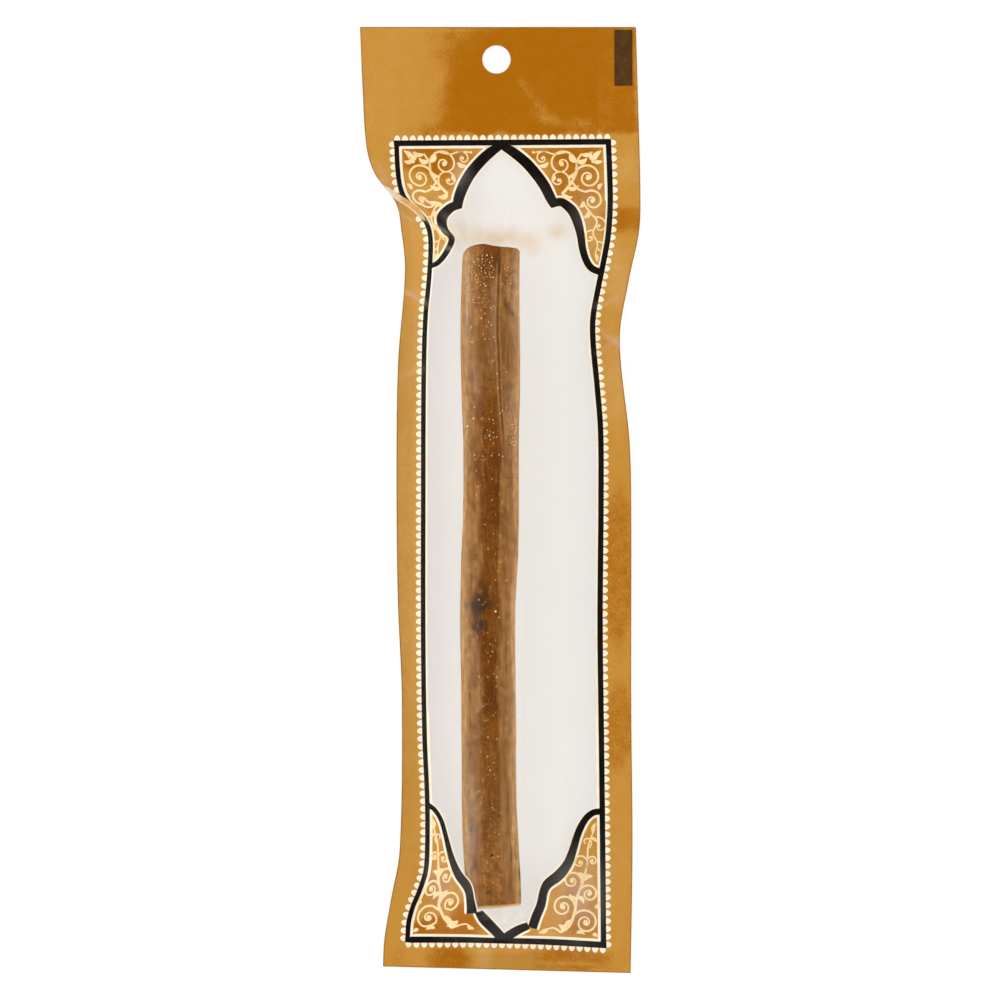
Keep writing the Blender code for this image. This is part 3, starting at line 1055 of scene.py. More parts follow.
# Pale streaks of painted sheen in the header and along the pouch's top and foot edges.
PAINTED_SHEEN_STREAKS = (
    # start x, y, end x, y and half width in mm, change of tone
    (2.6, 97.6, 12.6, 84.4, 1.6, -0.22), (5.0, 88.0, 21.6, 83.8, 1.5, -0.22),
    (15.0, 87.6, 23.0, 83.8, 1.3, -0.20), (-16.4, 92.6, -12.2, 97.6, 1.8, -0.10),
    (30.7, 107.0, 31.2, 84.0, 0.5, -0.42), (-30.8, 106.8, 30.6, 106.8, 0.35, -0.22),
    (6.6, -104.9, 21.8, -105.2, 0.3, -0.34),
)
SIDE_FOLDS = (-23.6, 22.2)
BASE_TONE = 0.49
HEADER_FADE = (
    # height up the pouch, where the header's deep tone begins, and where it is full, in mm
    (82.0, -16.0, -10.0), (88.0, -16.4, -9.6), (95.0, -17.5, -7.4), (101.0, -20.0, 0.5),
    (107.2, -21.0, 6.0),
)
HEADER_DEPTH = 0.58
HEADER_LEFT_SHARE = 0.35


def header_depth(x, y):
    """1 where the header's two films touch, 0 left of there and below."""
    begins, full = read_rows(HEADER_FADE, y / MM)
    wander = 1.4 * (swell(x, y, 0.004, 0.004, 14) - 0.5)
    near_the_middle = smoothstep(begins, full, x / MM + wander)
    near_the_left = HEADER_LEFT_SHARE * smoothstep(-21.0, -10.0, x / MM)
    from_left = near_the_left + (1.0 - HEADER_LEFT_SHARE) * near_the_middle
    return from_left * smoothstep(81.9, 84.1, y / MM + wander)


def ink_tone(x, y):
    """0 where air lies behind the ink, 1 where the films touch; lower along streaks of painted
    sheen.
    """
    tone = BASE_TONE + 0.08 * (swell(x, y, 0.010, 0.016, 2) - 0.5)
    tone = tone + 0.06 * (swell(x, y, 0.0030, 0.0044, 9) - 0.5)
    tone = tone + HEADER_DEPTH * header_depth(x, y)
    warped_x = x / MM + 1.6 * (swell(x, y, 0.006, 0.006, 14) - 0.5)
    warped_y = y / MM + 1.6 * (swell(x, y, 0.006, 0.006, 15) - 0.5)
    tone = tone + soft_ovals(warped_x, warped_y, TONE_SPOTS)
    for *line, half_width, change in PAINTED_SHEEN_STREAKS:
        tone = tone + change * ridge(x, y, *line, half_width)
    header = smoothstep(81.0 * MM, 83.0 * MM, y)
    tone = tone - header * (0.05 * (x < SIDE_FOLDS[0] * MM) + 0.15 * (x > SIDE_FOLDS[1] * MM))
    return np.clip(tone, 0.0, 1.0)


print(len(TONE_SPOTS), "deep or pale areas and", len(PAINTED_SHEEN_STREAKS), "streaks in the gold")

# %% [markdown]
# The gold is everything outside the window. The window's outline is stitched from the middle
# lines of the arches and of the frame, so the black bands always hide the gold's edge.

# %% Gold print on the front film
GOLD_LIFT = 0.00002
GOLD_STEP = 0.6


def between(path, low, high):
    """The part of a path that lies between two heights."""
    return path[(path[:, 1] > low) & (path[:, 1] < high)]


left_side = between(frame_sides["left"], FOOT_LEFT[0][1], LOBE_LEFT[-1][1])
right_side = between(frame_sides["right"], FOOT_RIGHT[0][1], LOBE_RIGHT[-1][1])
window = chain(
    top_arch[:, :2],
    left_side[::-1],
    foot_bands[0][:, :2],
    foot_bands[1][:, :2],
    foot_bands[3][::-1, :2],
    foot_bands[2][::-1, :2],
    right_side[::-1],
)
gold_shape = region([pouch_outline(INK_INSET), hang_hole, window], GOLD_STEP)
gold_values = {"tone": ink_tone}
front_gold = laid_on_film(
    "front_gold_print", gold_shape, GOLD_LIFT, gold_ink, values=gold_values
)

# %% [markdown]
# Under each black band lies a cream one that is a little wider, and what shows of it is the
# pale line along both edges. The line is wider on the side of the gold corners.

# %% Black keyline and arches with their cream edges
CREAM_LIFT = 0.00005
BLACK_LIFT = 0.00008
GOLD_SIDE_EDGE = 0.52
WINDOW_SIDE_EDGE = 0.27
KEYLINE_EDGE_BESIDE_WINDOW = 0.36
KEYLINE_EDGE_BESIDE_GOLD = 0.62
KEYLINE_OVERLAP = 0.1
WINDOW_SIDES_MIDDLE_Y = 10.0
WINDOW_SIDES_REACH = 58.0

black_parts = [ribbon(frame_loop, frame_widths / 2, closed=True)]
black_parts += [ribbon(band, band[:, 2] / 2, columns=4) for band in [top_arch] + foot_bands]
front_black = laid_on_film("front_black_print", together(*black_parts), BLACK_LIFT, black_ink)

beside_window = np.abs(frame_loop[:, 1] - WINDOW_SIDES_MIDDLE_Y) < WINDOW_SIDES_REACH
inner_edge = np.where(beside_window, KEYLINE_EDGE_BESIDE_WINDOW, KEYLINE_EDGE_BESIDE_GOLD)
half_widths = frame_widths / 2
keyline_sides = (half_widths - KEYLINE_OVERLAP, half_widths + inner_edge)
cream_parts = [ribbon(frame_loop, *keyline_sides, closed=True, columns=3)]
for band, gold_on_left in zip([top_arch] + foot_bands, (False, False, False, True, True)):
    sides = (GOLD_SIDE_EDGE, WINDOW_SIDE_EDGE)
    left_extra, right_extra = sides if gold_on_left else sides[::-1]
    half_widths = band[:, 2] / 2
    cream_parts.append(ribbon(band, half_widths + left_extra, half_widths + right_extra, columns=5))
front_cream = laid_on_film("front_cream_edges", together(*cream_parts), CREAM_LIFT, cream_ink)

# %% [markdown]
# A row of cream pearls runs round the outside of the keyline. Geometry Nodes set them out:
# the frame's outline is a curve, Curve to Points walks along it at an even pitch, and a half
# disc is placed at every point and turned along the curve.

# %% A tree that sets out pearls
PEARL_CORNERS = 11


def place_copies(group, end, points, shape, finish, **inputs):
    """Ends a tree: a copy of the shape on every point, made real and given its finish."""
    inputs = {"Points": points, "Instance": shape, **inputs}
    copies = node(group, "GeometryNodeInstanceOnPoints", inputs).outputs["Instances"]
    real = node(group, "GeometryNodeRealizeInstances", {"Geometry": copies}).outputs["Geometry"]
    finished = node(group, "GeometryNodeSetMaterial", {"Geometry": real, "Material": finish})
    fill(group, end, {"Geometry": finished.outputs["Geometry"]})


def pearl_row_tree():
    """Half discs along a curve, bulging to the curve's left."""
    sizes = dict.fromkeys(("Pitch", "Width", "Depth"), "Float")
    takes = {"Geometry": "Geometry", **sizes, "Ink": "Material"}
    gives = {"Geometry": "Geometry"}
    group, takes, end = new_group("row of pearls", "GeometryNodeTree", takes, gives)
    line = {"Curve": takes["Geometry"], "Length": takes["Pitch"]}
    places = node(group, "GeometryNodeCurveToPoints", line, mode="LENGTH").outputs
    half_circle = {"Radius": 0.5, "Sweep Angle": math.pi, "Connect Center": True}
    half_circle["Resolution"] = PEARL_CORNERS
    arc = node(group, "GeometryNodeCurveArc", half_circle).outputs["Curve"]
    half_disc = node(group, "GeometryNodeFillCurve", {"Curve": arc}).outputs["Mesh"]
    double_depth = maths(group, "MULTIPLY", takes["Depth"], 2.0)
    size = node(group, "ShaderNodeCombineXYZ", {"X": takes["Width"], "Y": double_depth, "Z": 1.0})
    heading = {"Vector": places["Tangent"]}
    turned = node(group, "FunctionNodeAlignRotationToVector", heading, axis="X", pivot_axis="Z")
    placing = {"Rotation": turned.outputs["Rotation"], "Scale": size.outputs["Vector"]}
    place_copies(group, end, places["Points"], half_disc, takes["Ink"], **placing)
    return group


pearl_tree = pearl_row_tree()
print("the tree of a row of pearls has", len(pearl_tree.nodes), "nodes")

# %% [markdown]
# The tree runs on an object, and its result is read back as a plain mesh, because only a
# plain mesh can be laid on the film like the other ink. Each side of the frame has a row of
# its own, so that a pearl sits at both of its ends. The left side has two rows, with a break
# where the gathered film hides the print.

# %% Pearls round the frame
PEARL_PITCH = 1.78
PEARL_WIDTH = 1.46
PEARL_DEPTH = 1.14
PITCH_TRIM = 0.9999
CORNER_ROOM = 0.85


def run_tree(group, source, name, inputs):
    """Evaluates a Geometry Nodes tree on an object and returns the result as a new mesh."""
    made = new_object(name, source)
    modifier = made.modifiers.new(group.name, "NODES")
    modifier.node_group = group
    for item in group.interface.items_tree:
        if item.in_out == "INPUT" and item.name in inputs:
            modifier[item.identifier] = inputs[item.name]
    seen = made.evaluated_get(bpy.context.evaluated_depsgraph_get())
    mesh = bpy.data.meshes.new_from_object(seen)
    bpy.data.objects.remove(made)
    return mesh


def poly_curve(name, path):
    """A curve object's data with one straight-sided spline through the points, in mm."""
    data = bpy.data.curves.new(name, "CURVE")
    data.dimensions = "3D"
    spline = data.splines.new("POLY")
    spline.points.add(len(path) - 1)
    height_and_weight = np.tile([0.0, 1.0], (len(path), 1))
    spline.points.foreach_set("co", np.hstack([path[:, :2], height_and_weight]).ravel())
    return data


def pearl_row(path):
    """Pearls along an open line, the last of them at its very end."""
    length = run_along(path)[-1]
    pitch = length / max(round(length / PEARL_PITCH), 1) * PITCH_TRIM
    sizes = {"Pitch": pitch, "Width": PEARL_WIDTH, "Depth": PEARL_DEPTH, "Ink": cream_ink}
    mesh = run_tree(pearl_tree, poly_curve("pearl line", path), "pearls", sizes)
    points = np.empty(len(mesh.vertices) * 3)
    mesh.vertices.foreach_get("co", points)
    faces = [tuple(face.vertices) for face in mesh.polygons]
    bpy.data.meshes.remove(mesh)
    return points.reshape(-1, 3)[:, :2], faces


def part_of(line, start, end, room_at_start=CORNER_ROOM, room_at_end=CORNER_ROOM):
    """The stretch of a closed line from near one place to near another, at even steps."""
    first, last = (np.hypot(*(line - place).T).argmin() for place in (start, end))
    stretch = np.roll(line, -first, axis=0)[: (last - first) % len(line) + 1]
    run = run_along(stretch)
    places = np.linspace(room_at_start, run[-1] - room_at_end, int(run[-1] / STEP) + 2)
    return np.column_stack([np.interp(places, run, column) for column in stretch.T])


frame_corners = [FRAME_TOP_LEFT, FRAME_RIGHT[0], FRAME_RIGHT[-1], FRAME_LEFT[-1]]
outer_line, _ = side_lines(frame_loop, frame_widths / 2, frame_widths / 2, closed=True)
GATHER = ((-22.9, 70.6), (-18.2, 64.0))
pearl_lines = [part_of(outer_line, a, b) for a, b in zip(frame_corners, frame_corners[1:])]
pearl_lines.append(part_of(outer_line, frame_corners[3], GATHER[1], CORNER_ROOM, 0.0))
pearl_lines.append(part_of(outer_line, GATHER[0], frame_corners[0], 0.0, CORNER_ROOM))
pearl_shape = together(*[pearl_row(line) for line in pearl_lines])
front_pearls = laid_on_film("front_pearls", pearl_shape, CREAM_LIFT, cream_ink)

# %% [markdown]
# The four corners are filled with scrollwork, a common ornament of curling vines. Each vine is
# a line with a width that tapers, a curl is a spiral that closes on a bud, and a leaf is a
# short ribbon that is widest in its middle.

# %% Vines, curls, leaves and buds


def vine(points, start_width, end_width):
    path = curve(points, 0.22)
    return path, np.linspace(start_width, end_width, len(path)) / 2


def curl(start, centre, turns, end_radius=0.34, start_width=0.46):
    """A spiral from a start point round a centre; turns are positive anticlockwise."""
    away = np.subtract(start, centre)
    radius = math.hypot(*away)
    count = int(2 * math.pi * radius * abs(turns) / 0.26) + 8
    t = np.linspace(0.0, 1.0, count)
    reach = radius + (end_radius - radius) * t**0.85
    angle = math.atan2(away[1], away[0]) + 2 * math.pi * turns * t
    path = np.column_stack([centre[0] + reach * np.cos(angle), centre[1] + reach * np.sin(angle)])
    return path, (start_width + (0.26 - start_width) * t) / 2


def leaf(base, tip, width, bend=0.25):
    """A pointed leaf whose middle line bows to its left by a share of its length."""
    base, tip = np.array(base), np.array(tip)
    aside = np.array([base[1] - tip[1], tip[0] - base[0]]) * bend
    path = curve([base, (base + tip) / 2 + aside, tip], 0.16)
    t = np.linspace(0.0, 1.0, len(path))
    return path, 0.03 + width / 2 * np.sin(math.pi * t**0.8) ** 0.9


def bud(centre, radius):
    t = np.linspace(-1.0, 1.0, 11)
    path = np.column_stack([centre[0] + radius * t, np.full(11, centre[1])])
    return path, radius * np.sqrt(np.maximum(1.0 - t**2, 0.004))


# %% [markdown]
# The motif of the upper right corner climbs from the arch's shoulder to the frame's corner,
# and a branch of it runs down between the arch and the right side. Points are in millimetres.
# A vine also takes the widths of its two ends, a curl its turns, the radius that it ends with
# and the width that it starts with, and a leaf its width and its bend.

# %% The motif of the upper corners
UPPER_MOTIF = [
    vine([(14.0, 69.4), (15.8, 71.6), (17.2, 74.2), (17.3, 76.6), (18.4, 78.6)], 0.62, 0.34),
    curl((16.6, 72.6), (19.9, 73.2), -1.75),
    curl((17.2, 75.0), (13.9, 76.3), 1.65),
    curl((15.4, 71.0), (13.2, 72.6), 1.2, start_width=0.36),
    vine([(16.2, 72.2), (17.6, 70.6), (19.3, 69.9)], 0.42, 0.40),
    curl((19.3, 69.9), (20.9, 67.9), -1.45),
    vine(
        [(18.6, 67.6), (20.4, 65.2), (21.9, 63.2), (21.0, 60.6), (22.0, 58.2), (21.5, 55.8)],
        0.44, 0.26,
    ),
    curl((21.6, 64.2), (22.4, 62.2), -0.9, 0.30, 0.34),
    curl((21.0, 61.2), (20.4, 59.6), 0.9, 0.28, 0.32),
    curl((21.7, 58.6), (22.5, 57.2), -0.8, 0.24, 0.30),
    vine([(14.6, 78.9), (12.2, 78.5), (10.0, 79.1), (7.6, 78.9)], 0.36, 0.26),
    curl((10.4, 79.0), (9.5, 77.6), 1.1, 0.28, 0.32),
    leaf((14.0, 69.4), (16.5, 68.8), 0.95, -0.2),
    leaf((15.2, 70.8), (17.8, 71.4), 0.8, -0.2),
    leaf((17.2, 74.4), (15.2, 73.4), 0.85, 0.2),
    leaf((17.3, 76.6), (15.9, 79.0), 0.95, 0.2),
    leaf((17.4, 76.8), (19.7, 77.6), 0.95, -0.2),
    leaf((18.4, 78.4), (21.0, 79.0), 0.8, -0.15),
    leaf((21.0, 76.9), (22.9, 79.3), 1.05, 0.1),
    leaf((21.0, 76.9), (20.4, 79.2), 0.75, 0.1),
    leaf((21.0, 76.9), (23.2, 76.9), 0.8, -0.1),
    leaf((18.9, 67.8), (17.9, 66.4), 0.8, 0.2),
    leaf((20.2, 65.6), (18.7, 64.0), 0.85, 0.2),
    leaf((22.3, 70.4), (23.2, 71.8), 0.7, 0.2),
    leaf((10.9, 76.6), (8.6, 75.9), 0.8, 0.2),
    leaf((12.0, 74.0), (11.6, 72.2), 0.7, 0.2),
    leaf((21.5, 56.0), (21.9, 54.0), 0.6, 0.1),
    bud((19.9, 73.2), 0.55),
    bud((13.9, 76.3), 0.52),
    bud((20.9, 67.9), 0.48),
    bud((13.2, 72.6), 0.36),
    bud((9.5, 77.6), 0.32),
    bud((22.4, 62.2), 0.32),
    bud((20.4, 59.6), 0.30),
    bud((21.0, 76.9), 0.42),
    bud((7.4, 78.9), 0.26),
]
print(len(UPPER_MOTIF), "strokes in the upper motif")

# %% [markdown]
# The lower motif is one long vine, which rises beside the frame from its foot. Curls leave it
# to both sides in turn.

# %% The motif of the lower corners
LOWER_MOTIF = [
    vine(
        [(13.5, -98.1), (15.6, -96.6), (16.8, -93.6), (17.4, -90.2), (18.8, -86.4), (19.7, -82.2),
         (19.9, -78.6), (21.0, -75.4)],
        0.66, 0.30,
    ),
    curl((16.7, -94.2), (19.3, -95.9), -1.8),
    curl((17.0, -92.6), (14.2, -92.3), 1.7),
    curl((17.9, -88.8), (20.1, -89.4), -1.6),
    curl((18.3, -87.6), (16.2, -86.4), 1.5),
    curl((19.4, -83.6), (18.0, -82.2), 1.35, 0.30, 0.38),
    curl((19.7, -81.8), (20.9, -81.9), -1.3, 0.28, 0.36),
    curl((19.9, -79.0), (19.5, -77.6), 0.9, 0.26, 0.32),
    vine([(13.6, -98.0), (12.0, -97.0), (10.4, -97.4)], 0.42, 0.30),
    leaf((15.4, -96.8), (13.2, -96.2), 1.0, 0.2),
    leaf((10.8, -97.2), (8.6, -98.0), 0.85, 0.1),
    leaf((16.2, -95.2), (14.9, -97.9), 0.8, -0.2),
    leaf((17.4, -90.4), (15.6, -89.4), 0.85, 0.2),
    leaf((17.5, -90.0), (18.9, -91.6), 0.8, 0.2),
    leaf((18.8, -86.4), (21.0, -85.4), 0.9, 0.2),
    leaf((18.9, -86.0), (17.6, -84.6), 0.75, -0.2),
    leaf((21.0, -75.6), (21.6, -73.2), 0.75, 0.1),
    leaf((20.5, -76.6), (21.9, -77.6), 0.6, 0.1),
    leaf((20.9, -98.5), (22.1, -99.1), 0.7, 0.1),
    leaf((21.4, -92.6), (22.4, -91.0), 0.7, -0.2),
    leaf((17.2, -98.2), (19.2, -98.6), 0.7, 0.2),
    bud((19.3, -95.9), 0.58),
    bud((14.2, -92.3), 0.55),
    bud((20.1, -89.4), 0.46),
    bud((16.2, -86.4), 0.46),
    bud((18.0, -82.2), 0.36),
    bud((20.9, -81.9), 0.32),
    bud((10.2, -97.6), 0.3),
]
print(len(LOWER_MOTIF), "strokes in the lower motif")

# %% [markdown]
# The left corners are mirror images of the right ones, squeezed between the lines there, as
# the shrunk film squeezes the real print. A stroke keeps its share of the way from the inner
# line to the outer one at every height.

# %% Scrollwork in all four corners
SCROLL_LIFT = 0.000065
SCROLL_FULLNESS = 1.14
LOWER_LEFT_RAISED = 1.1


def crossing(path, y):
    """Where a line that runs up the pouch stands at each height."""
    order = np.argsort(path[:, 1])
    return np.interp(y, path[order, 1], path[order, 0])


def mirrored(motif, inner, outer, new_inner, new_outer, raised=0.0):
    """A motif moved from between two lines to between two others."""
    moved = []
    for path, widths in motif:
        y = path[:, 1]
        share = (path[:, 0] - crossing(inner, y)) / (crossing(outer, y) - crossing(inner, y))
        y = y + raised
        x = crossing(new_inner, y) + share * (crossing(new_outer, y) - crossing(new_inner, y))
        moved.append((np.column_stack([x, y]), widths))
    return moved


right_arch = chain(*upper_bands[1::-1])
left_arch = chain(*upper_bands[2:])
right_foot = chain(foot_bands[2], foot_bands[3][-1:])
left_foot = chain(foot_bands[0], foot_bands[1])
scroll_lines = UPPER_MOTIF + LOWER_MOTIF
right_line, left_line = frame_sides["right"], frame_sides["left"]
scroll_lines += mirrored(UPPER_MOTIF, right_arch, right_line, left_arch, left_line)
scroll_lines += mirrored(
    LOWER_MOTIF, right_foot, right_line, left_foot, left_line, LOWER_LEFT_RAISED
)
scroll_shape = together(
    *[ribbon(path, SCROLL_FULLNESS * widths, columns=1) for path, widths in scroll_lines]
)
front_scrolls = laid_on_film("front_scrolls", scroll_shape, SCROLL_LIFT, scroll_ink)

# %% [markdown]
# Where the pouch narrows at the upper left, the front film has folded over itself and hides a
# little of the keyline. The fold is a ribbon of doubled film with a rounded back. Bent that
# sharply, plastic turns white, and the white streak on the fold is also its painted highlight, so a
# value on the mesh fades it from white to gold.

# %% The folded gather
GATHER_FOLD = (
    # x, y and width in mm
    (-26.6, 71.6, 0.20), (-25.4, 70.5, 0.80), (-24.0, 69.2, 1.20), (-22.7, 68.3, 1.35),
    (-21.3, 67.45, 1.35), (-19.85, 66.35, 1.35), (-18.65, 65.25, 1.30), (-17.7, 64.2, 0.80),
    (-17.1, 63.4, 0.20),
)
FOLD_HEIGHT = 0.00016
FOLD_THICKNESS = 0.00006

fold_path = curve(GATHER_FOLD, 0.25)
fold_heading = np.gradient(fold_path[:, :2], axis=0)


def fold_place(x, y):
    """Where a point lies on the fold: 0 to 1 along it, and -1 (lower edge) to 1 across it."""
    from_x = x[:, None] / MM - fold_path[:, 0]
    from_y = y[:, None] / MM - fold_path[:, 1]
    nearest = np.hypot(from_x, from_y).argmin(axis=1)
    row = np.arange(len(x))
    away = np.hypot(from_x, from_y)[row, nearest]
    ahead = fold_heading[nearest]
    above = ahead[:, 0] * from_y[row, nearest] - ahead[:, 1] * from_x[row, nearest]
    across = np.sign(above) * away / (fold_path[nearest, 2] / 2)
    return nearest / (len(fold_path) - 1), np.clip(across, -1.0, 1.0)


def folded_film(x, y):
    return front_film(x, y) + FOLD_HEIGHT * np.sqrt(1.0 - fold_place(x, y)[1] ** 2 * 0.96)


def fold_whitening_and_highlight(x, y):
    along, across = fold_place(x, y)
    streak = 0.72 + 0.28 * swell(x, y, 0.0009, 0.0009, 41)
    band = smoothstep(0.03, 0.12, along) * (1.0 - smoothstep(0.34, 0.48, along)) * streak
    return np.maximum(band, 0.55 * (across < -0.5) * (along > 0.3))


def make_folded_finish():
    finish, tree, shader = new_finish("folded film with painted highlight", 0.42, 0.2)
    grain, mottle = grain_in(tree, 2600.0, 600.0)
    gold = mixed(tree, mottle, colour(194, 144, 74), colour(206, 158, 90))
    # White streak: whitened plastic and painted highlight on the fold.
    white_and_highlight = mixed(tree, grain, colour(196, 182, 160), colour(214, 201, 180))
    fill(tree, shader, {"Base Color": mixed(tree, attribute(tree, "white_and_highlight"), gold, white_and_highlight)})
    return finish


gather_fold = laid_on_film(
    "front_gather_fold",
    ribbon(fold_path, fold_path[:, 2] / 2, columns=8),
    CLEAR_LIFT + CLEAR_THICKNESS,
    make_folded_finish(),
    FOLD_THICKNESS,
    folded_film,
    {"white_and_highlight": fold_whitening_and_highlight},
)

# %% [markdown]
# Two small pieces are left: a dark printed patch in the header's corner, which marks where to tear,
# and a fine olive line at the pouch's cut edge, which is painted shadow along the edge.

# %% Tear patch and painted edge shadow
TEAR_PATCH = ((25.85, 94.0), (29.95, 94.0), (29.95, 106.7), (25.85, 106.7))
PATCH_STEP = 0.6
EDGE_SHADOW_WIDTH = 0.22

patch_sides = zip(TEAR_PATCH, TEAR_PATCH[1:] + TEAR_PATCH[:1])
patch_loop = chain(*[straight(start, end, PATCH_STEP) for start, end in patch_sides])[:-1]
tear_patch = laid_on_film("tear_patch", region([patch_loop], PATCH_STEP), CREAM_LIFT, label_ink)
half_edge = EDGE_SHADOW_WIDTH / 2
# Painted shadow along the pouch's cut edge.
edge_shape = ribbon(pouch_outline(INK_INSET + half_edge), half_edge, closed=True, columns=1)
edge_shadow_line = laid_on_film("front_edge_shadow_line", edge_shape, CREAM_LIFT, edge_shadow_ink)

# %% [markdown]
# The back film carries the same frame. It is printed on its inner side too, so from behind
# the order is turned round: black lies nearest to the clear film, then cream, then gold.

# %% Print on the back film
BACK_WINDOW_GROWTH = 0.45
BACK_BLACK_LIFT = 0.000110
BACK_PEARL_LIFT = 0.000130
BACK_GOLD_LIFT = 0.000150
BACK_GOLD_STEP = 0.8
BACK_LINE_SIDES = (0.5, 0.15)

back_window, _ = side_lines(frame_loop, BACK_WINDOW_GROWTH, 0.0, closed=True)
back_gold = laid_on_film(
    "back_gold_print",
    region([pouch_outline(INK_INSET), hang_hole, back_window], BACK_GOLD_STEP),
    BACK_GOLD_LIFT,
    gold_ink,
    film=back_film,
    values=gold_values,
)
back_line = ribbon(back_window, *BACK_LINE_SIDES, closed=True)
back_black = laid_on_film(
    "back_black_print", back_line, BACK_BLACK_LIFT, black_ink, film=back_film
)
back_outer, _ = side_lines(back_window, BACK_LINE_SIDES[0], BACK_LINE_SIDES[0], closed=True)
back_sides = zip(frame_corners, frame_corners[1:] + frame_corners[:1])
back_rows = together(*[pearl_row(part_of(back_outer, a, b)) for a, b in back_sides])
back_pearls = laid_on_film("back_pearls", back_rows, BACK_PEARL_LIFT, cream_ink, film=back_film)

# %% [markdown]
# The stick is root wood with most of its thin bark still on: roughly round, a little oval,
# with long fine fibres, shallow hollows and one long split. A sculpted mesh could do this, but
# numbers are easier to control. These say how the stick departs from a smooth round bar.

# %% How the stick departs from a round bar
EXTRA_RADIUS = 0.00010
FOOT_RIM_ROUND = 0.00040
TOP_RIM_ROUND = (0.00085, 0.00030)
FOOT_END_SLOPE = 0.07
FOOT_TRIM = 0.0005
TOP_END_SHAPE = (
    # across from the axis, and how far the sawn end reaches past the stick's length, in mm
    (-6.4, -1.00), (-5.6, -0.46), (-4.4, 0.00), (-3.2, 0.28), (-2.2, 0.40), (-1.0, 0.28),
    (0.2, 0.00), (1.4, -0.20), (2.4, -0.26), (3.6, -0.32), (4.9, -0.42), (5.8, -0.54), (6.4, -0.74),
)
TOP_SHAPE_FROM = 0.93
LEFT_SWELLING = (
    # height up the pouch, and how far the left side stands out, in mm
    (-94.0, 0.20), (-90.0, 0.60), (-86.0, 0.85), (-80.0, 1.00), (-76.0, 1.05), (-70.0, 0.92),
    (-60.0, 0.65), (-50.0, 0.50), (-40.0, 0.40), (-24.0, 0.40), (-14.0, 0.20), (-4.0, -0.20),
    (12.0, -0.20), (22.0, 0.15), (32.0, 0.52), (40.0, 0.58), (50.0, 0.45), (57.4, 0.10),
)
RIGHT_HOLLOW = (
    # height up the pouch, and how far the right side stands back, in mm
    (-93.0, -0.20), (-88.0, -0.20), (-80.0, 0.05), (-70.0, 0.45), (-62.0, 0.55), (-52.0, 0.60),
    (-40.0, 1.00), (-24.0, 1.10), (-14.0, 0.50), (-5.0, 0.25), (13.0, 0.25), (22.0, 0.05),
    (34.0, -0.10), (46.0, 0.0), (57.4, 0.0),
)
OVALNESS = 0.012
OVAL_TURNS_BY = 5.0
THREE_SIDEDNESS = 0.006
THREE_SIDES_TURN_BY = -4.0
SPLIT_LINE = (
    # height up the pouch and place across it, in mm
    (57.0, 0.15), (52.0, -0.30), (48.0, -0.45), (38.6, -0.70), (34.0, -0.45), (22.7, 0.0),
    (9.0, 1.1), (0.0, 1.5),
)
SPLIT_DEPTH = 0.035
SPLIT_STARTS = (0.002, 0.020)
SPLIT_ENDS = (0.0525, 0.0555)
SAW_MARKS = 0.00010
SAW_MARKS_FINENESS = 900
BARK_RELIEF = (
    # how fine round the stick and along it, where the noise is read, height in metres
    (1.3, 45.0, 3.1, 0.00013), (3.2, 130.0, 7.7, 0.00007), (16.0, 120.0, 1.3, 0.00005),
    (34.0, 420.0, 9.2, 0.00003),
)
relief_height = sum(row[3] for row in BARK_RELIEF)
print(f"bark relief of up to {relief_height * 1000:.2f} mm in {len(BARK_RELIEF)} sizes")

# %% [markdown]
# Three rules turn the numbers into a surface. The fibres are noise, stretched along the
# stick, that moves the bark in and out. The split is a groove along a drawn line. A sawn end
# has a slightly rounded rim, a quarter of a circle.

# %% Fibres, split and rims


def fibre_relief(angle, y):
    """How far one point of the bark stands in or out, in metres."""
    ring = Vector((math.cos(angle), 0.0, math.sin(angle)))
    return sum(
        layer_height * noise.noise(ring * around + Vector((0, y * along, level)))
        for around, along, level, layer_height in BARK_RELIEF
    )


def split_line(y):
    return through(SPLIT_LINE, y / MM) * MM


def split_mask(x, y, half_width=0.00017, aside=0.0):
    """1 along the long split on the stick's upper side, or along a line beside it."""
    fade = smoothstep(*SPLIT_STARTS, y) * (1.0 - smoothstep(*SPLIT_ENDS, y))
    return np.exp(-(((x - split_line(y) - aside) / half_width) ** 2)) * fade


def rounding(from_end, rim):
    """How much a quarter-round rim takes off the radius at a distance from the end."""
    return rim * (1.0 - np.sqrt(1.0 - np.clip(1.0 - from_end / rim, 0.0, 1.0) ** 2))


# %% [markdown]
# The surface is made of rings of points, from the foot to the top, each as wide as the stick
# is there. Past the last full ring, smaller and smaller ones close over the sawn end, which
# the noise leaves a little rough.

# %% Rings of points round the stick
STICK_SIDES = 176
STICK_RINGS = 380
CAP_RINGS = 12
RIM_RINGS = 7
RIM_REACH = 0.0013


def stick_rows_up():
    """Rings from the middle of the foot end to the middle of the top: place along, and size."""
    cap = np.linspace(0.0, 1.0, CAP_RINGS, endpoint=False)
    side = np.linspace(0.0, 1.0, STICK_RINGS)
    rim = np.linspace(0.0, RIM_REACH / STICK_LENGTH, RIM_RINGS)
    side = np.unique(np.round(np.concatenate([side, rim, 1.0 - rim]), 7))
    rows = [(0.0, share) for share in cap]
    rows += [(along, 1.0) for along in side]
    return rows + [(1.0, share) for share in cap[::-1]]


angles = np.linspace(0.0, 2 * math.pi, STICK_SIDES, endpoint=False)
ring_x, ring_z = np.cos(angles), np.sin(angles)


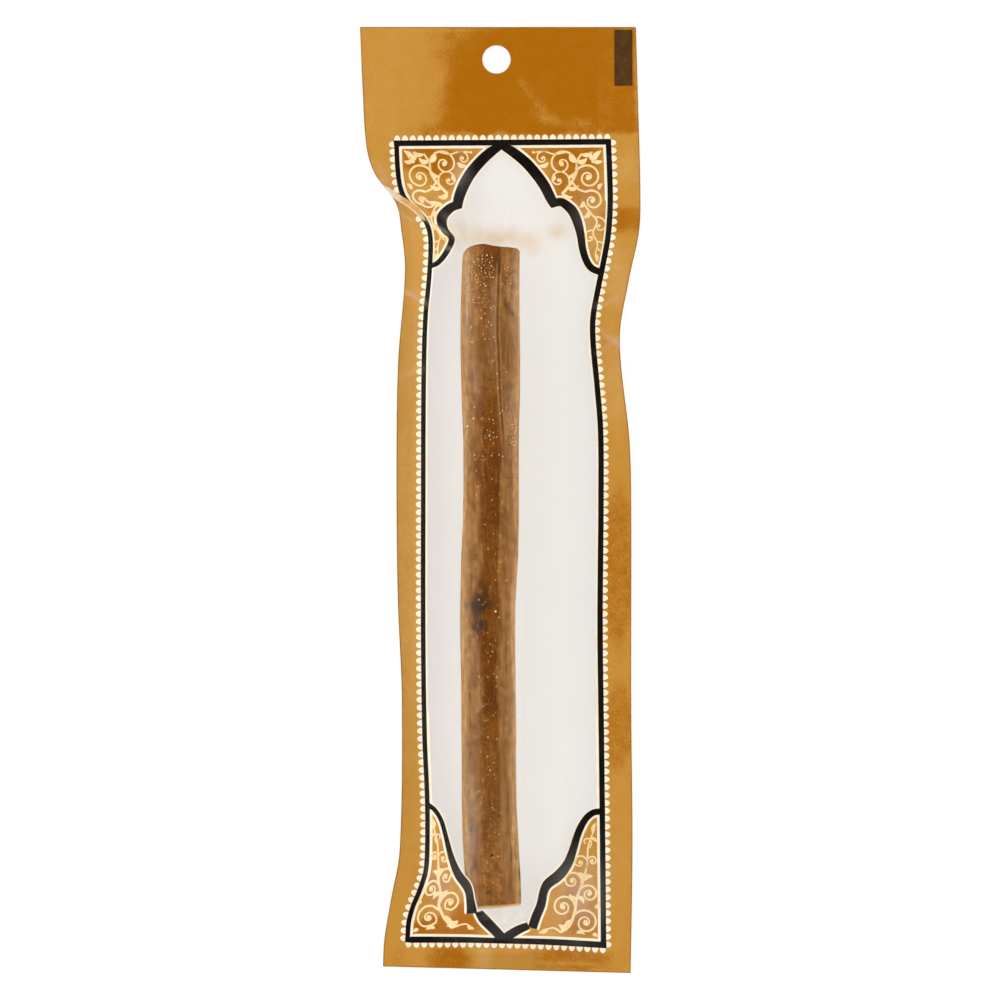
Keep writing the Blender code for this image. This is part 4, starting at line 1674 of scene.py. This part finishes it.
def stick_ring(along, share):
    """One ring of points: how far along the stick it lies, and its share of the full width."""
    y = np.array([STICK_TOP_Y - STICK_LENGTH * (1.0 - along)])
    oval = OVALNESS * (1.0 - np.cos(2 * angles + OVAL_TURNS_BY * along))
    three = THREE_SIDEDNESS * (1.0 - np.cos(3 * angles + THREE_SIDES_TURN_BY * along))
    radius = stick_radius(y) * (1.0 - oval - three) + EXTRA_RADIUS
    radius = radius + np.array([fibre_relief(angle, y[0]) for angle in angles])
    radius = radius + through(LEFT_SWELLING, y / MM) * MM * np.maximum(-ring_x, 0.0)
    radius = radius - through(RIGHT_HOLLOW, y / MM) * MM * np.maximum(ring_x, 0.0)
    radius = radius - rounding(y - STICK_FOOT_Y, FOOT_RIM_ROUND)
    radius = radius - rounding(STICK_TOP_Y - y, TOP_RIM_ROUND[0] - TOP_RIM_ROUND[1] * ring_x)
    side = radius * share * ring_x
    up = radius * share * ring_z
    split = split_mask(stick_axis_x(y) + side, y) * (ring_z > 0) * share
    side = side * (1.0 - SPLIT_DEPTH * split)
    up = up * (1.0 - SPLIT_DEPTH * split)
    top_shape = through(TOP_END_SHAPE, side / MM) * MM * smoothstep(TOP_SHAPE_FROM, 1.0, along)
    foot_shape = (side * FOOT_END_SLOPE + FOOT_TRIM) * (1.0 - along)
    sawn = 0.0
    if share < 1.0:
        cut = SAW_MARKS_FINENESS * np.column_stack([side, up])
        rough = [noise.noise(Vector((*place, along * 9))) for place in cut]
        sawn = SAW_MARKS * np.array(rough) * (1.0 if along > 0.5 else -1.0)
    return np.column_stack(
        [stick_axis_x(y) + side, y + foot_shape + top_shape + sawn, stick_axis_z(y) + up]
    )


stick_rows = stick_rows_up()[1:-1]
stick_xyz = np.vstack([stick_ring(along, share) for along, share in stick_rows])
end_grain = np.repeat([share for _, share in stick_rows], STICK_SIDES)
print(len(stick_rows), "rings of", STICK_SIDES, "points")

# %% [markdown]
# Quads join each ring to the next, and a fan of triangles closes either end. Where the bark
# would touch the film it is pressed flat just under it, as the real film presses it.

# %% The stick's faces, pressed under the film
PRESSED_ROOM = 0.00006

stick_faces = []
following = [(i, (i + 1) % STICK_SIDES) for i in range(STICK_SIDES)]
last_ring = (len(stick_rows) - 1) * STICK_SIDES
for a in range(0, last_ring, STICK_SIDES):
    b = a + STICK_SIDES
    stick_faces += [(a + i, b + i, b + j, a + j) for i, j in following]
foot_middle = len(stick_xyz)
top_middle = foot_middle + 1
for i, j in following:
    stick_faces += [(foot_middle, i, j), (top_middle, last_ring + j, last_ring + i)]
middles = [stick_xyz[:STICK_SIDES].mean(axis=0), stick_xyz[-STICK_SIDES:].mean(axis=0)]
stick_xyz = np.vstack([stick_xyz, middles])
end_grain = np.concatenate([end_grain, [0.0, 0.0]])
film_above = front_film(stick_xyz[:, 0], stick_xyz[:, 1])
stick_xyz[:, 2] = np.minimum(stick_xyz[:, 2], film_above - PRESSED_ROOM)
room = film_above - stick_xyz[:, 2]
print(f"stick: {len(stick_faces)} faces, {np.ptp(stick_xyz[:, 1]) * 1000:.1f} mm long")
print(f"least room under the film {room.min() * 1000:.2f} mm, over the back film "
      f"{(stick_xyz[:, 2].min() - FILM_THICKNESS) * 1000:.2f} mm")

# %% [markdown]
# The bark's colour tells where the film touches it. Pressed against the plastic, damp and without
# air, it is a deep orange brown; at its sides, where it is dry, it is a pale tan. The mesh stores
# how wet, how stained and how split each point is; along the split it stores the painted shade in
# the groove and the pale lips beside it, which are partly paler bark and partly painted highlight.

# %% What the stick's mesh stores
STAINS = (
    # x, y, reach across and up in mm, depth
    (-2.6, 53.2, 1.6, 2.2, 0.20), (-0.6, 55.0, 0.9, 2.2, 0.46), (-0.1, 52.0, 0.5, 1.4, 0.40),
    (1.0, 51.2, 0.9, 2.0, 0.26), (0.9, 45.2, 0.5, 1.2, 0.42), (1.6, 43.6, 1.3, 1.5, 0.44),
    (2.4, 42.2, 0.9, 0.9, 0.40), (3.6, 40.9, 0.8, 1.0, 0.42), (1.8, 37.4, 1.4, 3.0, 0.36),
    (2.0, 31.0, 1.4, 3.8, 0.30), (-5.1, -23.8, 3.0, 1.9, 1.04), (-5.0, -28.2, 2.5, 1.8, 0.84),
    (-4.0, -21.0, 2.6, 2.0, 0.26), (-2.0, 37.0, 3.4, 5.0, 0.24), (-4.4, -19.4, 1.6, 2.4, 0.34),
    (-6.6, -74.0, 0.6, 4.0, 0.62), (-5.6, -82.0, 0.7, 2.8, 0.66), (-6.8, -84.6, 0.6, 2.4, 0.60),
    (-4.6, -77.0, 0.5, 2.6, 0.46), (-1.9, -80.3, 0.45, 0.5, 1.0), (2.5, -80.6, 0.35, 1.8, 0.70),
    (1.7, -76.0, 0.30, 1.4, 0.50), (-2.4, -88.4, 1.5, 1.2, 0.48), (0.6, -88.6, 0.5, 0.7, 0.62),
    (4.3, -84.4, 0.35, 2.4, 0.75), (4.4, -89.0, 0.35, 1.4, 0.60), (-1.6, -64.0, 1.8, 3.4, 0.26),
    (-2.0, -44.0, 1.4, 6.0, 0.26), (-1.4, 6.0, 1.8, 7.0, 0.24), (-1.2, 18.0, 1.4, 4.0, 0.26),
)


def stain_mask(x, y):
    return np.clip(soft_ovals(x / MM, y / MM, STAINS), 0.0, 1.0)


WET_BAND = (
    # y, left edge and right edge in mm, how wet
    (57.8, -4.3, 0.0, 1.00), (52.2, -4.6, 0.0, 0.92), (47.2, -4.6, -2.4, 0.40),
    (37.4, -5.0, -1.0, 0.58), (30.6, -5.2, -0.7, 0.50), (19.1, -5.0, -0.1, 1.00),
    (6.8, -5.2, 0.2, 1.00), (-13.6, -4.5, -0.7, 0.95), (-24.3, -6.4, -0.2, 0.95),
    (-40.2, -4.5, -0.7, 1.00), (-52.2, -4.5, -0.4, 0.90), (-68.1, -4.5, 0.0, 0.66),
    (-81.7, -4.1, 0.0, 0.52), (-92.6, -3.6, 0.7, 0.42),
)


def wet_mask(x, y):
    """1 where the front film presses on damp bark: soft at its left edge, firm at its right."""
    left, right, wetness = read_rows(WET_BAND, y / MM)
    ragged = 1.3 * (swell(x, y, 0.0014, 0.007, 31) - 0.5)
    ragged = ragged + 0.7 * (swell(x, y, 0.0007, 0.0016, 33) - 0.5)
    past_left = smoothstep(left - 1.0, left + 1.1, x / MM + ragged)
    past_right = smoothstep(right - 0.25, right + 0.45, x / MM + 0.5 * ragged)
    damp = 0.28 * (1.0 - smoothstep(3.4, 5.4, np.abs(x - stick_axis_x(y)) / MM + ragged))
    return np.maximum(past_left * (1.0 - past_right) * wetness, damp)


def side_paleness(x, y):
    """1 at the stick's dry sides, which the film does not touch; wider at its lower right."""
    aside = (x - stick_axis_x(y)) / MM
    lower_right = (aside > 0.0) * (1.0 - smoothstep(-26.0 * MM, -16.0 * MM, y))
    begins = 4.6 - 1.2 * lower_right
    ragged = 0.9 * (swell(x, y, 0.0012, 0.009, 37) - 0.5)
    return smoothstep(begins, begins + 1.6, np.abs(aside) + ragged)


SHAVED_EDGE = (0.25, 0.75)


def foot_rim(y):
    """1 at the freshly sawn lower edge, where the bark is shaved off."""
    return 1.0 - smoothstep(*SHAVED_EDGE, (y - STICK_FOOT_Y) / MM)


px, py, pz = stick_xyz.T
upper_side = pz > stick_axis_z(py)
foot_y = py - (px - stick_axis_x(py)) * FOOT_END_SLOPE - FOOT_TRIM
# Pale lips either side of the split are partly paler bark and partly painted highlight; the split
# itself carries painted shade in its groove.
split_lips_and_sheen = split_mask(px, py, 0.0002, -0.0005) + 0.8 * split_mask(px, py, 0.00018, 0.00042)
stick_values = {
    "wet": wet_mask(px, py) * upper_side,
    "stain": stain_mask(px, py) * upper_side,
    "split": split_mask(px, py) * upper_side,
    "split_lips_and_sheen": split_lips_and_sheen * upper_side,
    "side": np.where(upper_side, side_paleness(px, py), 1.0),
    "sawn_edge": foot_rim(foot_y),
    "rim": end_grain,
}
print("the stick's mesh stores", ", ".join(stick_values))

# %% [markdown]
# The material blends dry and wet colours by those numbers. Noise on Object coordinates adds
# what is too fine for the mesh. On coordinates that are squeezed along the stick it stretches
# into fibres, and on plain ones it makes flecks and grit. The sawn ends are lighter, with
# rings.

# %% Bark


def make_bark():
    finish, tree, shader = new_finish("miswak bark", 0.6, 0.04)
    place = object_place(tree)
    along = node(tree, "ShaderNodeMapping", {"Vector": place, "Scale": (1.0, 0.09, 1.0)}).outputs[0]
    fibres = speckle(tree, along, 2600.0, 4.0)
    streaks = speckle(tree, along, 800.0, 3.0)
    cloud = speckle(tree, place, 120.0, 3.0)
    mottle = speckle(tree, place, 520.0, 4.0)
    grit = speckle(tree, place, 1900.0)
    streaky = ramp(tree, streaks, 0.35, 0.65)
    wetness = attribute(tree, "wet")
    rim = attribute(tree, "rim")

    dry = mixed(tree, streaky, colour(138, 90, 38), colour(160, 112, 56))
    dry = mixed(tree, ramp(tree, mottle, 0.5, 0.7, 0.0, 0.5), dry, colour(122, 74, 28))
    pale = mixed(tree, streaky, colour(158, 116, 62), colour(184, 140, 84))
    dry = mixed(tree, attribute(tree, "side"), dry, pale)
    wet = mixed(tree, ramp(tree, cloud, 0.35, 0.65), colour(92, 46, 2), colour(114, 64, 10))
    wet = mixed(tree, ramp(tree, mottle, 0.50, 0.72, 0.0, 0.8), wet, colour(136, 82, 26))
    base = mixed(tree, wetness, dry, wet)
    base = mixed(tree, 1.0, base, ramp(tree, grit, 0.36, 0.64, 0.84, 1.15), "MULTIPLY")
    base = mixed(tree, 1.0, base, ramp(tree, mottle, 0.36, 0.64, 1.16, 0.84), "MULTIPLY")
    fibre_depth = ramp(tree, wetness, 0.0, 1.0, 0.32, 0.16)
    dark_fibres = maths(tree, "MULTIPLY", ramp(tree, fibres, 0.50, 0.66), fibre_depth)
    base = mixed(tree, dark_fibres, base, colour(92, 56, 22))
    base = mixed(tree, ramp(tree, fibres, 0.46, 0.34, 0.0, 0.12), base, colour(190, 142, 88))
    # Pale lips beside the split: partly paler bark, partly painted highlight.
    lips_and_sheen = maths(tree, "MULTIPLY", attribute(tree, "split_lips_and_sheen"), 0.55)
    base = mixed(tree, lips_and_sheen, base, colour(170, 126, 82))
    # Painted shade in the split's groove.
    split = maths(tree, "MULTIPLY", attribute(tree, "split"), 0.75)
    base = mixed(tree, split, base, colour(72, 44, 20))
    patchy = ramp(tree, mottle, 0.25, 0.75, 0.22, -0.22)
    ragged = maths(tree, "ADD", attribute(tree, "stain"), patchy)
    ragged = maths(tree, "ADD", ragged, ramp(tree, fibres, 0.3, 0.7, -0.10, 0.10))
    blot = maths(tree, "MULTIPLY", ramp(tree, ragged, 0.20, 0.90), 0.92)
    base = mixed(tree, blot, base, colour(54, 37, 16))
    base = mixed(tree, attribute(tree, "sawn_edge"), base, colour(216, 174, 112))

    rings = maths(tree, "SINE", maths(tree, "MULTIPLY", rim, 52.0))
    rings = ramp(tree, rings, -1.0, 1.0, 0.2, 0.6)
    pith = mixed(tree, rings, colour(204, 172, 122), colour(168, 128, 80))
    pith = mixed(tree, 1.0, pith, ramp(tree, grit, 0.3, 0.7, 0.86, 1.12), "MULTIPLY")
    base = mixed(tree, ramp(tree, rim, 0.86, 0.97), pith, base)
    relief = maths(tree, "ADD", fibres, maths(tree, "ADD", mottle, grit))
    bump = node(tree, "ShaderNodeBump", {"Strength": 0.6, "Distance": 0.0001, "Height": relief})
    rough = ramp(tree, wetness, 0.0, 1.0, 0.75, 0.5)
    fill(tree, shader, {"Base Color": base, "Roughness": rough, "Normal": bump.outputs["Normal"]})
    return finish


bark = make_bark()
stick = add_piece("miswak_stick", stick_xyz, stick_faces, bark)
for key, values in stick_values.items():
    add_values(stick.data, key, values)
stick.data.shade_smooth()
stick.data.set_sharp_from_angle(angle=math.radians(50))

# %% [markdown]
# Damp bark in a closed pouch leaves tiny beads of moisture on the inside of the film. Their bright
# amber colour is a painted glint, which makes them show as golden specks. Their places come from a
# random generator with a fixed seed, thickest near the top end, and a few larger ones are listed
# one by one.

# %% Where the beads of moisture sit
BEAD_AREAS = (
    # x, y, reach across and up in mm, how many
    (-3.9, 52.6, 2.5, 2.9, 130), (-4.8, 47.0, 1.5, 3.0, 22), (-3.4, 40.6, 2.2, 4.6, 18),
    (2.0, 48.0, 1.7, 5.0, 18), (2.9, 14.6, 0.8, 2.2, 24), (-2.6, 15.4, 1.8, 3.4, 16),
    (-4.6, 8.6, 1.3, 1.6, 12), (-2.0, 0.0, 3.6, 44.0, 90), (-2.0, -55.0, 3.6, 26.0, 60),
    (-1.6, -82.0, 3.0, 8.0, 20),
)
LARGE_BEADS = (
    # x, y, width and length in mm
    (-6.6, 39.0, 0.20, 0.85), (-6.4, 35.6, 0.34, 0.50), (-5.9, 20.9, 0.34, 0.46),
    (-6.1, 18.4, 0.40, 0.46), (-7.5, 16.6, 0.42, 0.50), (-2.5, 14.5, 0.26, 0.44),
    (-2.3, 13.6, 0.24, 0.30), (-1.6, 15.2, 0.20, 0.34), (-2.0, 10.0, 0.30, 0.40),
    (0.5, 9.8, 0.34, 0.34), (-5.7, 9.1, 0.22, 0.30), (2.3, 48.8, 0.30, 0.36),
    (2.0, 47.4, 0.24, 0.24), (2.6, 17.0, 0.26, 0.30), (3.2, 15.0, 0.22, 0.36),
    (2.4, 12.9, 0.26, 0.26), (-1.1, -25.1, 0.55, 0.60), (-0.9, -42.0, 0.24, 0.28),
    (-0.9, -53.8, 0.28, 0.32), (-3.4, -49.8, 0.20, 0.26), (-2.8, -62.0, 0.18, 0.30),
)
BEAD_ROOM = 0.50


def bead_places():
    """x, y, width and length in mm for every bead; one too near to another is left out."""
    chance = np.random.default_rng(12)
    rows = list(LARGE_BEADS)
    for x, y, reach_x, reach_y, count in BEAD_AREAS:
        spread = chance.uniform(-1.0, 1.0, (count, 2)) * (reach_x, reach_y)
        width = 0.17 + 0.15 * chance.random(count) ** 2.2
        length = width * (1.0 + 0.35 * chance.random(count))
        for row in zip(x + spread[:, 0], y + spread[:, 1], width, length):
            nearest = min(math.dist(row[:2], other[:2]) for other in rows)
            if nearest > BEAD_ROOM:
                rows.append(row)
    return np.array(rows)


bead_rows = bead_places()
print(len(bead_rows), "beads of moisture")

# %% [markdown]
# Every bead is a point that knows how wide and how long it is. Geometry Nodes put a flattened
# ball on each point, which hangs just under the inner side of the film.

# %% Moisture beads by Geometry Nodes
BEAD_HEIGHT = 0.00011
HANGS_BY = 0.55


def bead_tree():
    """A flattened ball on every point, as wide and as long as the point says."""
    takes = {"Geometry": "Geometry", "Height": "Float", "Finish": "Material"}
    gives = {"Geometry": "Geometry"}
    group, takes, end = new_group("moisture beads", "GeometryNodeTree", takes, gives)
    ball = node(group, "GeometryNodeMeshIcoSphere", {"Radius": 0.5, "Subdivisions": 1})
    smoothed = node(group, "GeometryNodeSetShadeSmooth", {"Geometry": ball.outputs["Mesh"]})
    width, length = (
        node(group, "GeometryNodeInputNamedAttribute", {"Name": name}, data_type="FLOAT")
        for name in ("width", "length")
    )
    sides = {"X": width.outputs["Attribute"], "Y": length.outputs["Attribute"]}
    size = node(group, "ShaderNodeCombineXYZ", {**sides, "Z": takes["Height"]}).outputs["Vector"]
    ball = smoothed.outputs["Geometry"]
    place_copies(group, end, takes["Geometry"], ball, takes["Finish"], Scale=size)
    return group


def make_bead_glint_finish():
    finish, tree, shader = new_finish("moisture with painted glint", 0.12, 0.5)
    lightness = ramp(tree, speckle(tree, object_place(tree), 1500.0), 0.35, 0.65)
    # Painted glint: the beads' bright amber colour.
    glint_amber = mixed(tree, lightness, colour(250, 196, 112), colour(255, 232, 176))
    fill(tree, shader, {"Base Color": glint_amber})
    return finish


bead_x, bead_y, bead_width, bead_length = bead_rows.T * MM
bead_z = front_film(bead_x, bead_y) - HANGS_BY * BEAD_HEIGHT
bead_points = bpy.data.meshes.new("bead places")
bead_points.from_pydata(np.column_stack([bead_x, bead_y, bead_z]).tolist(), [], [])
add_values(bead_points, "width", bead_width)
add_values(bead_points, "length", bead_length)
bead_inputs = {"Height": BEAD_HEIGHT, "Finish": make_bead_glint_finish()}
beads = new_object("moisture_beads", run_tree(bead_tree(), bead_points, "beads", bead_inputs))
print(f"moisture_beads: {len(beads.data.polygons)} faces")

# %% [markdown]
# Every piece now says which body it moves with. The stick and the clear films stand for their
# measured solids.

# %% Attach every piece
film_pieces = {
    "front_film": [
        front_sheet, front_gold, front_black, front_cream, front_pearls, front_scrolls,
        gather_fold, tear_patch, edge_shadow_line, beads,
    ],
    "back_film": [back_sheet, back_gold, back_black, back_pearls],
    "stick": [stick],
}
for slot, pieces in film_pieces.items():
    for piece in pieces:
        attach(piece, "root")
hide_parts("stick")
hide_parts("front_film")
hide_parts("back_film")
